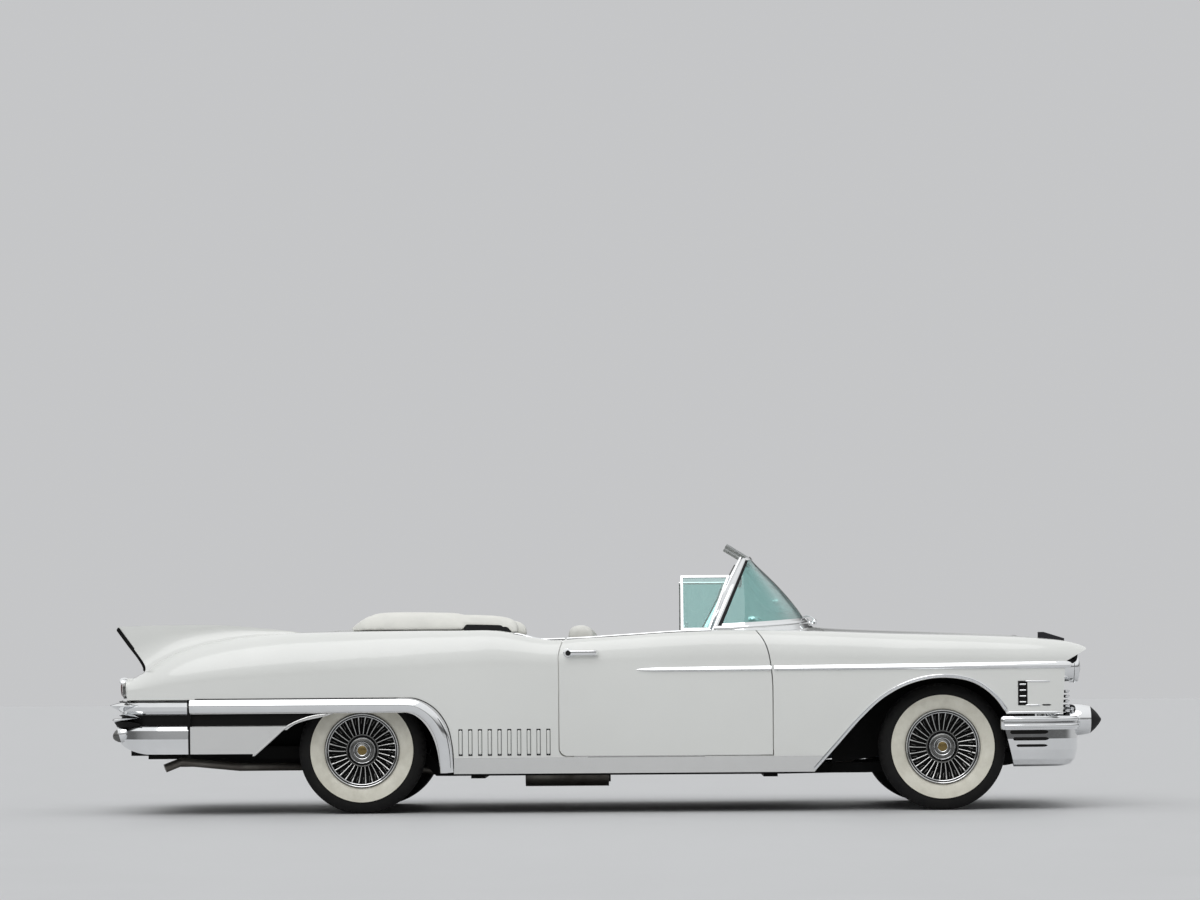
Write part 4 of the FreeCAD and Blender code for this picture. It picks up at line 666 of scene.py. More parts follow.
def tyre(x, side, settings):
    """A tyre as a loop of (radius, offset) columns carried round the axle. The ribs of the tread swing
    sideways as a zigzag wave, and the shoulder blocks are cut by notches at even angles."""
    around, zigzag, zigzag_steps, zigzag_limit = 360, 3.2, 8, 52
    notch_depth, notch_steps, notch_width = 4.5, 6, 2
    crown, half_tread, groove_depth = 0.4, 62, 7.0
    outer_wall = [(190.6, 66), (198, 75), (206, 81), (212, 84.5), (224, 90), (238, 94.6), (254, 98.4), (270, 100.6),
                  (284, 101.2), (291, 101.2), (292, 103.4), (295, 104.0), (298, 102.6), (299, 101.0), (312, 99.4),
                  (324, 95.6), (335, 90.0), (344, 83.6), (350, 78.6), (354, 73.6), (357, 67.0), (357.6, 60.0)]
    grooves = np.array([45, 27, 9, -9, -27, -45.0])
    tread = np.stack([grooves + 3.4, grooves + 1.9, grooves - 1.9, grooves - 3.4], -1).reshape(-1)
    tread_radius = (axle_z - crown * (tread / half_tread) ** 2
                    - np.tile([0, groove_depth, groove_depth, 0], len(grooves)))
    wall = np.array(outer_wall, float)
    inner_wall = wall[::-1] * [1, -1]
    columns = np.concatenate([wall, np.stack([tread_radius, tread], -1), inner_wall])
    angle = np.linspace(0, 2 * math.pi, around, endpoint=False)[:, None]
    step = np.arange(around)
    wave = np.abs((step % zigzag_steps) - zigzag_steps / 2) / (zigzag_steps / 4) - 1
    swings = np.abs(columns[:, 1]) < zigzag_limit
    offset = columns[None, :, 1] + zigzag * wave[:, None] * swings[None]
    shoulder = (np.abs(columns[:, 1]) > 60) & (columns[:, 0] > 349)
    notch = ((step % notch_steps) < notch_width)[:, None] & shoulder[None]
    radius = columns[None, :, 0] - notch_depth * notch
    points = np.stack([x + radius * np.cos(angle), side * (wheel_y + offset), axle_z + radius * np.sin(angle)], -1)
    low, high = settings.white_inner * 1000, settings.white_outer * 1000
    middle = (columns[:, 0] + np.roll(columns[:, 0], -1)) / 2
    white = (middle > low) & (middle < high) & (columns[:, 1] > 0) & (np.roll(columns[:, 1], -1) > 0)
    return points, True, True, np.tile(white.astype(int), (around, 1))


def spoke_set(x, side, radii, offsets, thin, thick, shift):
    """A row of straight spokes at even angles: each point is the axle, plus the radius along the spoke's own
    direction (turned slightly from hub to rim), plus a small circle that widens to a nipple near the rim. The
    radii and offsets are those at the hub and at the rim."""
    count, lean = 30, math.radians(3.0)
    t = np.array([0, 0.0, 0.25, 0.5, 0.72, 0.8, 0.82, 0.98, 1.0, 1.0])
    swell = np.array([0, 0, 0.15, 0.3, 0.45, 0.5, 1.0, 1.0, 0.9, 0])
    tips = np.array([1, 0, 0, 0, 0, 0, 0, 0, 0, 1])
    size = thin + (thick - thin) * swell - thin * tips
    radius = radii[0] + (radii[1] - radii[0]) * t
    offset = offsets[0] + (offsets[1] - offsets[0]) * t
    angle = (2 * math.pi * np.arange(count) / count + shift)[:, None] + (lean * (1 - t))[None]
    ring = np.linspace(0, 2 * math.pi, 8, endpoint=False)[:, None]
    along = np.stack([np.cos(angle), np.zeros_like(angle), np.sin(angle)], -1)
    sideways = np.stack([-np.sin(angle), np.zeros_like(angle), np.cos(angle)], -1)[:, :, None]
    centre = along * radius[:, None] + to_left * (side * (wheel_y + offset))[:, None] + np.array([x, 0, axle_z])
    circle = sideways * np.cos(ring) + to_left * np.sin(ring)
    points = centre[:, :, None] + circle * np.maximum(size, 0)[:, None, None]
    return [(spoke, False, True) for spoke in points]


def wheel(x, side):
    """The dressed wire wheel: a stepped rim ring with bright beads, a dark dish, a row of steel spokes before a
    dark one, and a plain cap whose shallow cone stands in a beaded ring round a gilt centre. The dark dish and the
    dark row of spokes are painted shade, and the rim, ring and cap are chrome painted darker as painted reflection."""
    centre, axis = (x, side * wheel_y, axle_z), (0, side, 0)
    rim = [(190, -66), (190, 66), (196, 74), (208, 81), (212.5, 85), (213, 90), (210, 94.5), (204, 96), (199, 95),
           (196, 91), (195, 86), (191, 84), (188, 81), (187, 70), (185, 40), (184, -64), (196, -74), (196, -66)]
    dish = [(184, 52), (184, 12), (150, 6), (100, 2), (70, 2), (30, 2), (30, -8), (70, -10), (120, -8), (184, -6),
            (188, 0), (188, 52)]
    ring = [(82, 44), (90, 44), (94, 48), (95, 54), (94.5, 60), (91, 63), (86, 62), (83, 58)]
    cap = [(0, 50), (70, 50), (72, 57), (71, 62), (66, 64), (62, 64.5), (60, 67), (56, 68), (52, 68), (50, 70.5),
           (46, 71.5), (42, 71.5), (40, 74), (34, 76), (30, 76.2), (0, 76.4)]
    centre_disc = [(0, 70), (27, 70), (29, 77), (27, 79.5), (20, 81), (10, 82), (0, 82.4)]
    groove = [(0, 46), (83, 46), (83, 56), (0, 56)]
    bead = [(2, 0), (0.6, 1.9), (-1.6, 1.2), (-1.6, -1.2), (0.6, -1.9)]
    bead_places = [(192.5, 88), (204.5, 96), (93.5, 57), (71.5, 60.5), (48, 71.5), (29, 78)]
    beads = [[(radius + r, offset + t) for r, t in bead] for radius, offset in bead_places]
    hub = [(0, -80), (58, -80), (60, -40), (64, 0), (64, 47), (0, 47)]
    between = math.pi / 30
    patches = marked(0, *[turned(b, centre, axis, 96, True) for b in beads])
    # Mark 1 in satin black: the dish behind the spokes and the second row of spokes stand for the shade there,
    # painted shade
    patches += marked(1, turned(dish, centre, axis, 96, True), turned(groove, centre, axis, 72),
                      turned(hub, centre, axis, 48), *spoke_set(x, side, (80, 187), (30, 52), 1.6, 2.6, between))
    patches += marked(2, *spoke_set(x, side, (86, 189), (57, 79), 2.4, 4.2, 0.0))
    # Mark 3, chrome painted darker for painted reflection and shade: rim, beaded ring, cap and the outer ends of the
    # dark row of spokes
    patches += marked(3, turned(rim, centre, axis, 120, True), turned(ring, centre, axis, 96, True),
                      turned(cap, centre, axis, 96), *spoke_set(x, side, (150, 188), (44, 60), 1.5, 3.2, between))
    patches += marked(4, turned(centre_disc, centre, axis, 64))
    valve = [(x + 168, side * (wheel_y + 30), axle_z - 30), (x + 160, side * (wheel_y + 92), axle_z - 30)]
    return patches + marked(1, tube(np.linspace(*valve, 3), 3.6))


# Trim that lies on the body
def side_strip(points, profile, taper, spacing, offset=0.0):
    """A moulding carried along a smooth line on the right flank through (x, z) points, moved sideways in side
    view by offset."""
    points = np.array(points, float)
    path = smooth_path(points, max(int(distance_along(points)[-1] / spacing), 3))
    if offset:
        along = unit(np.gradient(path, axis=0))
        path = path + np.stack([-along[:, 1], along[:, 0]], -1) * offset
    place, out = on_side(path)
    return sweep(place, out, profile, taper)


spear_z = guide([(174, 805), (928, 808), (2636, 816)])
spear_half = guide([(174, 9), (330, 12), (928, 14.5), (1800, 17), (2636, 20)])


def spear(start, end, taper):
    """The long flank moulding: a crested profile carried along a level line, wider towards the nose."""
    x = np.linspace(start, end, max(int((end - start) / 14), 4))
    place, out = on_side(np.stack([x, spear_z(x)], -1))
    crest = np.array([(-1, -1), (-1, 2.5), (-0.86, 5), (-0.45, 7.5), (0.1, 11), (0.3, 11.6), (0.62, 9), (0.9, 4.5),
                      (1, 2), (1, -1)])
    return sweep(place, out, crest, taper, widths=spear_half(x))


def belt(start, end, outboard=9, profile=half_round(17, 6.5), taper=(0, 0)):
    """A strip along the top edge of the body, a little outboard of the shoulder: the bright belt moulding."""
    x = np.linspace(start, end, max(int(abs(end - start) / 16), 4))
    place, out = on_top(np.stack([x, -(shoulder_y(x) + outboard)], -1))
    return sweep(place, out, profile, taper)


def belt_shadow_line(start, end):
    """Painted shadow: a dark strip under the belt moulding."""
    return belt(start, end, 24, half_round(5, 1.5, 4))


arch_lip = [(1178, 228), (1310, 376), (1442, 524), (1574, 641), (1700, 708), (1905, 747), (2085, 712), (2195, 628),
            (2252, 550)]
lip_profile = np.array([(-11, -2), (-11, 4), (-9, 7), (-5.5, 8), (-2.5, 5), (-1, 3), (1, 3), (3, 5.5), (6, 8.5),
                        (9.5, 7.5), (12, 3), (12, -2)])
band_crest = np.array([(-38, -2), (-38, 1), (-37, 3), (-34, 5), (-22, 10), (-10, 14.6), (-5, 16), (-1, 16.4),
                       (3, 15.8), (14, 13.2), (26, 10.6), (33, 8), (36, 5), (37, 2), (37, -2)])
arch_outer = [(-1060, 645), (-965, 592), (-898, 500), (-868, 380), (-860, 233)]
arch_inner = [(-1075, 557), (-1020, 510), (-968, 420), (-940, 300), (-934, 233)]


def rib_path(share):
    """A rib's line in side view: a mix by share of the band's outer and inner edges."""
    outer = np.array([(-2349, 652), (-1180, 652)] + arch_outer, float)
    inner = np.array([(-2349, 572), (-1150, 572)] + arch_inner, float)
    line = outer * (1 - share) + inner * share
    straight = np.linspace(line[0], line[1], 40, endpoint=False)
    return np.concatenate([straight, smooth_path(line[1:], 60)])


def strip_on(path, profile, proud=4.0, taper=(0, 0)):
    """A moulding along a dense line in side view, lifted from the body by proud."""
    place, out = on_side(path)
    return sweep(place + out * proud, out, profile, taper)


def side_patch(x, low, high, lift, thickness):
    """A thin plate on the right flank: at each x its points run from low to high on the lifted surface, and
    back again inside it."""
    columns = 6
    x = np.asarray(x, float)
    t = np.linspace(0, 1, columns)
    z = np.broadcast_to(low, x.shape)[:, None] * (1 - t) + np.broadcast_to(high, x.shape)[:, None] * t
    place, out = on_side(np.stack([np.repeat(x[:, None], columns, 1).ravel(), z.ravel()], -1))
    place, out = place.reshape(len(x), columns, 3), out.reshape(len(x), columns, 3)
    return shell(place + out * lift, place + out * (lift - thickness))


def plan_path(points, low, high, offset, height):
    """Part of a level path seen from above, between two values of x, moved outwards by offset and set at one
    height, with its outward direction."""
    line = smooth_path(points, 600)
    along = unit(np.gradient(line, axis=0))
    outward = np.stack([along[:, 1], -along[:, 0]], -1)
    if (outward * line).sum() < 0:
        outward = -outward
    line = line + outward * offset
    keep = (line[:, 0] >= low) & (line[:, 0] <= high)
    line, outward = line[keep][::4], outward[keep][::4]
    flat = np.zeros((len(line), 1))
    return np.concatenate([line, flat + height], -1), np.concatenate([outward, flat], -1)


# Windows and windshield
glass_base = [(612, -846, 1040), (760, -836, 1044), (900, -802, 1052), (1010, -712, 1060), (1080, -580, 1066),
              (1136, -360, 1074), (1164, -160, 1079), (1170, 0, 1080)]
vent_foot, vent_head = np.array([0, -886.0, 1010.0]), np.array([0, -748.0, 1338.0])
vent_normal = np.cross([1.0, 0, 0], vent_head - vent_foot)
vent_rear, vent_front, vent_reach = 430, 588, 124


def vent_outline(inset, extra_low=0.0):
    """The vent window's four corners in its leaning plane, moved inwards. Its front edge leans ahead by its reach
    from foot to head."""
    height = np.linalg.norm(vent_head - vent_foot)
    lean = vent_reach / height
    low, high = inset + extra_low, height - inset
    front = vent_front - inset * 1.1
    flat = [(vent_rear + inset, low), (front + lean * low, low), (front + lean * high, high),
            (vent_rear + inset, high)]
    rise = (vent_head - vent_foot) / height
    return np.array([vent_foot + np.array([x, 0, 0]) + rise * s for x, s in flat])


def vent_frame():
    """The vent window's chrome frame: a rounded profile carried round the leaning outline, with a deeper foot
    and a lock."""
    profile = [(0, -5), (2, -7), (6, -7), (8, -5.2), (10, -6.4), (13, -6.4), (15, -4), (15, 4), (13, 6.4), (10, 6.4),
               (8, 5.2), (6, 7), (2, 7), (0, 5)]
    corners = vent_outline(0)
    rise, inwards = unit(vent_head - vent_foot), -unit(vent_normal)
    start, end = corners[0] + rise * 17 + [6, 0, 0], corners[1] + rise * 17 + [4, 0, 0]
    lock = pillow(corners[0] + rise * 60 + inwards * 12 + [34, 0, 0], (16, 14, 30), 0.6, 9, 16)
    return marked(0, ring_frame(corners, vent_normal, profile), bar(start, end, 28, 12, 4, -inwards), lock)


def post_strip(foot, head, profile, foot_width, head_width, bevel=0.0):
    """A strip up the windshield's right post: a profile carried straight from foot to head, whose width changes
    evenly between the two."""
    t = np.linspace(0, 1, 24)[:, None]
    path = np.array(foot) * (1 - t) + np.array(head) * t
    out = np.tile(unit(np.array([0.0, -0.94, 0.36])), (24, 1))
    widths = foot_width * (1 - t[:, 0]) + head_width * t[:, 0]
    return sweep(path, out, np.array(profile), widths=widths, bevel=bevel)


def posts():
    """The bright posts beside the windshield, two crests with a groove between, and the flat black seals between
    post and glass. Both narrow towards the header."""
    crests = [(-1, -7), (-1, 2), (-0.8, 5), (-0.5, 6.5), (-0.2, 3), (0, 1), (0.2, 3), (0.5, 6.5), (0.8, 5), (1, 2),
              (1, -7)]
    flat = [(-1, -7), (-1, 2), (-0.4, 4), (0.4, 4), (1, 2), (1, -7)]
    return both_sides(marked(0, post_strip((592, -852, 1030.0), (788, -700, 1437.0), crests, 36, 20, 1.0))
                      + marked(1, post_strip((640, -850, 1032.0), (812, -700, 1424.0), flat, 13, 6)))


def windshield_base():
    """The bright strip under the glass, a half round that follows its foot right across the car."""
    right = np.array(glass_base, float)
    row = np.concatenate([right, right[-2::-1] * [1, -1, 1]])
    path = smooth_path(row, 120) + [0, 0, -6.0]
    out = unit(np.stack([path[:, 0] - 560, path[:, 1] * 0.9, np.full(120, 420.0)], -1))
    return sweep(path + out * 9, out, half_round(26, 8, sunk=4))


wiper_y = 350


def wiper(side):
    """A wiper: its spindle boss, a bent arm and a blade with its rubber that follow the glass."""
    foot = np.array([1206, side * wiper_y, 1068.0])
    arm = smooth_path([foot + [0, 0, 22], [1188, side * 300, 1106], [1163, side * 205, 1112]], 12)
    blade = smooth_path([(1143, side * 335, 1100), (1160, side * 200, 1107), (1168, side * 60, 1109)], 20)
    lean = unit(np.tile([0.9, 0, 0.5], (20, 1)))
    return (marked(0, turned([(0, -6), (17, -6), (16, 8), (11, 14), (10, 24), (0, 27)], foot, (0.2, 0, 1), 32),
                   tube(arm, 3.2, 10), sweep(blade, lean, rounded(7, 5, 2)))
            + marked(1, sweep(blade + np.array([-7.0, 0, -4.0]), lean, rounded(4, 10, 1.5))))


# Nose, bumpers and tail: each bumper's line seen from above is a right half, a middle and the half mirrored
front_half = [(2236, -984), (2330, -978), (2440, -962), (2540, -932), (2620, -880), (2668, -800), (2694, -680),
              (2706, -500), (2710, -250)]
front_path = front_half + [(2711, 0)] + [(x, -y) for x, y in front_half[::-1]]
rear_half = [(-2330, -971), (-2480, -948), (-2600, -919), (-2690, -876), (-2755, -790), (-2794, -640),
             (-2815, -420), (-2826, -210)]
rear_path = rear_half + [(-2830, 0)] + [(x, -y) for x, y in rear_half[::-1]]
lamp_ys, lamp_z = (620.0, 800.0), 800.0


def side_grille():
    """The dark block of short bright fins behind the headlamps, with a strip above and below it."""
    fins = [side_strip([(2327, z), (2372, z)], half_round(11, 8), (5, 5), 5) for z in (608, 641, 674, 707)]
    strips = [side_strip([(2362, 725), (2510, 723)], half_round(9, 5), (4, 24), 8),
              side_strip([(2362, 590), (2452, 590)], half_round(10, 5), (4, 4), 8),
              side_strip([(2262, 549), (2572, 549)], half_round(13, 5), (6, 6), 12)]
    dark = [side_patch(np.linspace(2323, 2376, 8), 589, 726, 1.8, 3),
            side_strip([(2456, 590), (2512, 590)], half_round(8, 3), (4, 14), 8)]
    return marked(0, *fins, *strips) + marked(1, *dark)


def grille_studs():
    """Pointed studs where the grille's bars cross: one turned shape repeated over the crossings."""
    cone = [(0, 0), (8.5, 0), (9.5, 4), (8, 9), (5, 15), (0, 22)]
    columns, rows, half_width, low, high = 16, 4, 520, 562, 742
    across = np.linspace(-half_width, half_width, columns + 2)[1:-1]
    levels = np.linspace(low, high, rows + 2)[1:-1]
    return [turned(cone, (2617, y, z), (1, 0, 0), 12) for y in across for z in levels]


def headlamp_rings():
    """A stepped bright ring round each headlamp, turned from one profile."""
    ring = [(71, 0), (71.5, 7), (74, 10), (79, 8), (84, 1), (87, -9), (87, -18), (80, -20), (80, 0)]
    return [turned(ring, (2672, s * y, lamp_z), (1, 0, 0), 72, True) for s in (-1, 1) for y in lamp_ys]


def grille_ends():
    """The ends of the grille's bars, five rounded blocks up each side just ahead of the fender."""
    return [pillow((2606, s * 848, 556 + 27 * i), (40, 84, 17), 0.5, 11, 20) for s in (-1, 1) for i in range(5)]


def front_bumper_trim():
    """Dark slots in the apron, a groove between two ribs round the bar, and the bar's rolled ends."""
    bar_z, end_x = 489.5, 2236
    slots, ribs = [], []
    for z, start, end, tall in ((438, 2275, 2502, 22), (400, 2290, 2502, 19), (362, 2310, 2492, 15)):
        path, out = plan_path(front_half, start, end, -8.0 if z > 400 else -6.5, z)
        slots.append(sweep(path, out, half_round(tall, 3.5), (10, 30)))
    path, out = plan_path(front_path, end_x + 4, 3000, 6.5, bar_z)
    groove = sweep(path, out, half_round(4, 2.5, 4))
    for z, offset in ((508, 5.0), (471, 4.5)):
        path, out = plan_path(front_path, end_x + 8, 3000, offset, z)
        ribs.append(sweep(path, out, half_round(22, 6)))
    end = pillow((end_x, -966, bar_z), (26, 46, 76), 0.55, 13, 24)
    return both_sides(marked(0, end) + marked(1, *slots)) + marked(0, *ribs) + marked(1, groove)


def plate(x, z, facing):
    """A blank licence plate: a thin enamelled sheet in a bright rim with four screws."""
    half_width, half_height, rim_cover, axis = 152, 76, 6, (facing, 0, 0)
    rim = [(0, -2), (0, 3), (2, 4.5), (6, 4.5), (8, 3), (8, -2)]
    screws = [turned([(0, 0), (7, 0), (6, 3), (0, 4)], (x + facing * 2, y, z + s), axis, 16)
              for y in (-90, 90) for s in (-62, 62)]
    edge = upright(x, half_width, z - half_height, z + half_height)
    sheet = upright(x + facing, half_width - rim_cover, z - half_height + rim_cover, z + half_height - rim_cover)
    return marked(0, ring_frame(edge, axis, rim), *screws) + marked(1, slab(sheet, axis, 2.4))


rear_lip = [(-1990, 332), (-1924, 389), (-1861, 445), (-1805, 493), (-1725, 533), (-1646, 557), (-1566, 567)]


def rear_lip_trim():
    """The thin bright lip behind the rear wheel opening, with the corner of the lower panel that meets it."""
    lip = np.array(rear_lip, float)
    x, band_foot = np.linspace(-1992, -1806, 28), 499.0
    low = np.interp(x, lip[:, 0], lip[:, 1])
    corner = side_patch(x, low, np.minimum(low + 70, band_foot), 4.0, 24)
    return [side_strip(rear_lip, half_round(12, 6, sunk=24), (4, 30), 10), corner]


def recess_strip():
    """The black inset along the lower rear, whose lower edge climbs to a point ahead of the wheel opening."""
    x = np.concatenate([np.linspace(-2350, -1800, 40), np.linspace(-1785, -1530, 26)])
    low = guide([(-2350, 501), (-1815, 501), (-1725, 535), (-1646, 559), (-1566, 568), (-1530, 569)])(x)
    return side_patch(x, low, np.full_like(x, 570.0), -20.0, 3)


corner_path = [(-2640, -905), (-2700, -886), (-2752, -858), (-2792, -815), (-2814, -752), (-2817, -680),
               (-2808, -560)]
beak_centre, beak_axis = (-2766, -800, 452), (-1, -0.12, -0.3)


def corner_blade(levels, profile, taper=(0, 0), widths=None):
    """A blade that wraps the bumper's corner: a profile carried along the corner's path, where its height and
    width change from station to station."""
    count = len(levels)
    path = smooth_path([(x, y, z) for (x, y), z in zip(corner_path, levels)], 8 * count)
    along = unit(np.gradient(path, axis=0))
    out = unit(np.stack([along[:, 1], -along[:, 0], np.zeros(len(path))], -1))
    out = out * np.sign((out * path).sum(-1, keepdims=True))
    wide = None if widths is None else np.interp(np.linspace(0, count - 1, len(path)), np.arange(count), widths)
    return sweep(path, out, np.array(profile, float), taper, widths=wide)


def rear_bumper_trim():
    """The dark slot round the tail and a thin dark line over the upper bar. At each corner a pointed wing stands
    over the two arms of an open lip, with black plates of painted shade in the recesses between them, and a short
    beak below in chrome painted darker, a painted reflection."""
    band_end = -2362
    path, out = plan_path(rear_path, -3000, band_end, -29.0, 535.5)
    slot = sweep(path, out, rounded(64, 4, 1.5))
    path, out = plan_path(rear_path, -3000, band_end, -3.0, 643.0)
    line = sweep(path, out, half_round(5, 2.5, 4))
    wing = corner_blade((620,) * 7, [(-47, -90), (-47, -72), (-36, -44), (-20, -14), (-6, 10), (0, 18), (4, 14),
                                     (12, -12), (20, -44), (25, -72), (25, -90)], (190, 90))
    rim = [(-0.5, -70), (-0.5, -6), (-0.3, 1), (0, 4), (0.3, 1), (0.5, -6), (0.5, -70)]
    arms = [corner_blade((551, 546, 542, 538, 536, 536, 540), rim, (0, 40), (3, 10, 15, 20, 24, 24, 20)),
            corner_blade((553, 567, 574), rim, (0, 50), (3, 9, 8))]
    # Black plates in the recesses between the wing and the lip: painted shade
    recess = corner_blade((553, 560, 563, 564, 563, 562, 562), [(-0.5, -110), (-0.5, -48), (0.5, -56), (0.5, -110)],
                          (0, 40), (2, 14, 26, 32, 32, 30, 28))
    under = corner_blade((510,) * 7, [(-12, -90), (-12, -24), (18, -6), (22, -8), (22, -90)], (150, 90))
    drum = turned([(0, -60), (44, -60), (47, -30), (46, -4), (40, 6), (0, 6)], beak_centre, beak_axis, 48)
    # The beak takes the third finish, chrome painted darker: a painted reflection
    beak = turned([(0, 0), (38, 2), (38, 10), (32, 22), (20, 35), (9, 42), (0, 43)], beak_centre, beak_axis, 48)
    return (marked(1, slot, line)
            + both_sides(marked(0, wing, *arms, drum) + marked(1, recess, under) + marked(2, beak)))


tail_lamp = np.array([-2739.0, -800, 719])


def tail_trim():
    """The fin's trailing edge, chrome trim drawn in black as a painted dark reflection, the ring round the tail lamp,
    chrome painted darker as a painted reflection, and the small hood over it, which is carried along an arc round the
    lamp's axis."""
    line = smooth_path([(-2787, 1069), (-2715, 972), (-2646, 880), (-2630, 852), (-2623, 826), (-2629, 808)], 40)
    path = np.stack([line[:, 0], -fin_y(line[:, 0]), line[:, 1]], -1)
    along = unit(np.gradient(path, axis=0))
    out = np.cross(along, to_left)
    out = out * np.sign(-out[:, :1])
    # The fin's chrome edge trim is drawn in satin black: a painted dark reflection
    edge = sweep(path, out, half_round(20, 19, sunk=4), (14, 6))
    ring = [(48.5, -3), (48.5, 5), (51, 8), (56, 7), (58.5, 2), (59, -8), (57, -12)]
    a = np.linspace(-1.15, 1.15, 40)[:, None]
    around = to_left * np.sin(a) + np.array([0, 0, 1.0]) * np.cos(a)
    hood = sweep(tail_lamp + [-5, 0, 0] + around * 55, around, half_round(46, 8, sunk=3), (30, 30))
    # The lamp ring takes the third finish, chrome painted darker: a painted reflection
    return marked(0, hood) + marked(1, edge) + marked(2, turned(ring, tail_lamp, (-1, 0, 0), 64, True))


louvre_places = -818 + 55 * np.arange(10)
louvre_low, louvre_high = 331, 471


def louvre_shadows():
    """A dark line round each of the ten louvres, thin plates just above the quarter panel."""
    return [side_patch(np.linspace(x - 11.5, x + 11.5, 5), louvre_low - 5, louvre_high + 5, 1.0, 2.5)
            for x in louvre_places]


def louvre_caps():
    """The rounded faces of the ten louvres: half rounds that stand up from the quarter panel."""
    return [side_strip([(x, louvre_low), (x, louvre_high)], half_round(15.5, 8.5), (9, 9), 7) for x in louvre_places]


def door_handle():
    """A pull bar on two feet with a push button at its rear end."""
    button_x, middle_x, front_x, z = -208, -130, -57, 901
    y = -float(side_half(middle_x, z + 2))
    path = smooth_path([(-224, y - 17, z), (-205, y - 21, z), (middle_x, y - 23, z), (-58, y - 21, z),
                        (-38, y - 15, z)], 24)
    grip = sweep(path, np.tile([0, -1.0, 0], (24, 1)), rounded(29, 15, 6), (14, 14))
    foot = np.array([(0, -4), (1, -4), (0.95, 3), (0.68, 9), (0.58, 16), (0, 17)])
    feet = [turned(foot * [radius, 1], (x, y, z - 2), (0, -1, 0), 32)
            for x, radius in ((button_x, 30), (front_x, 20))]
    button = turned([(0, 0), (15, 0), (15, 4), (12, 6.5), (0, 7)], (button_x, y - 27, z - 1), (0, -1, 0), 32)
    return marked(0, grip, *feet) + marked(1, button)


def cowl_vents():
    """The row of slots in the cowl ahead of the glass, with none beside a wiper's spindle."""
    x, half_slot, clear = 1186, 15, 28
    slots = []
    for y in 330 * (np.arange(15) / 7 - 1):
        if abs(abs(y) - wiper_y) > clear:
            place, out = on_top(np.linspace([x, y - half_slot], [x, y + half_slot], 5))
            slots.append(sweep(place, out, half_round(34, 1.6, 5), (3, 3)))
    return slots


# Padded pieces: seats and the boot over the folded top
def closed_curve(points):
    """A closed smooth loop through points: each stretch is a cubic whose end slopes point along the chord
    between its two neighbours."""
    p = np.array(points, float)[:, None]
    q = np.roll(p, -1, 0)
    slope = (q - np.roll(p, 1, 0)) / 2
    t = np.linspace(0, 1, 8, endpoint=False)[None, :, None]
    return cubic(t, p, q, slope, np.roll(slope, -1, 0)).reshape(-1, p.shape[-1])


def shrunk(loop, distance):
    """The loop with every point moved towards its middle by a distance."""
    inward = loop.mean(0) - loop
    length = np.maximum(np.linalg.norm(inward, axis=-1, keepdims=True), 1)
    return loop + inward * np.minimum(distance / length, 0.9)


def across_block(loop, y0, y1, radius):
    """A side-view loop of (x, z) points carried across the car from y0 to y1. Near the ends it shrinks as a
    quarter circle, so the block's corners are round."""
    turn = np.linspace(0, math.pi / 2, 6)
    near, far = y0 + radius * (1 - np.sin(turn[::-1])), y1 - radius * (1 - np.sin(turn))
    y = np.concatenate([near, np.linspace(near[-1], far[0], 40)[1:-1], far])
    away = np.minimum(y - y0, y1 - y)
    inset = radius - np.sqrt(np.maximum(radius ** 2 - np.maximum(radius - away, 0) ** 2, 0))
    rows = np.stack([shrunk(loop, d) for d in inset])
    return with_ends(np.insert(rows, 1, 0, axis=2) + to_left * y[:, None, None]), False, True


def window(value, low, high, soft=10.0):
    """One between two limits, falling smoothly to zero outside them: the product of two logistic curves, each
    1 / (1 + e^(4 times the distance past its limit, over soft))."""
    before, after = np.clip((low - value) / soft * 4, -60, 60), np.clip((value - high) / soft * 4, -60, 60)
    return 1 / (1 + np.exp(before)) / (1 + np.exp(after))


def seam_lines(value, lines, width=6.5):
    """Depth of the nearest of several sewn lines: a bell curve across each, e^-(distance / width)^2."""
    distance = np.abs(value[:, None] - np.array(lines, float)[None]).min(1)
    return np.exp(-(distance / width) ** 2)


def quilted(pleats, along, start, end, facing, borders):
    """Sewn channels on one face of a pad: lines at the pleats between start and end, and a seam at each border."""
    def depth(points, normals):
        """The share of the seams' depth at each point: its lines' depth, times how far it faces that way."""
        face = np.clip((normals @ np.array(facing, float) - 0.25) * 3, 0, 1)
        y, run = points[:, 1], points[:, along]
        inside = window(run, start, end) * window(y, pleats[0] - 2, pleats[-1] + 2)
        lines = seam_lines(y, pleats) * inside
        cross = seam_lines(run, borders) * window(y, pleats[0], pleats[-1])
        return np.maximum(lines, cross) * face
    return depth


def skinned(name, patches, voxel):
    """The piece's rough block as one even closed skin, remeshed in cubes of the voxel's size."""
    rough = bpy.data.objects.new(name, joined_mesh(name, patches))
    bpy.context.scene.collection.objects.link(rough)
    remesh = rough.modifiers.new("skin", "REMESH")
    remesh.mode, remesh.voxel_size = "VOXEL", voxel * MM
    rough.data = bpy.data.meshes.new_from_object(rough.evaluated_get(bpy.context.evaluated_depsgraph_get()))
    rough.modifiers.clear()
    return rough


def vectors(mesh, what="vertices", field="co"):
    """Three numbers for each vertex of a mesh."""
    values = np.empty(len(mesh.vertices) * 3)
    getattr(mesh, what).foreach_get(field, values)
    return values.reshape(-1, 3)


swell_frames = 20


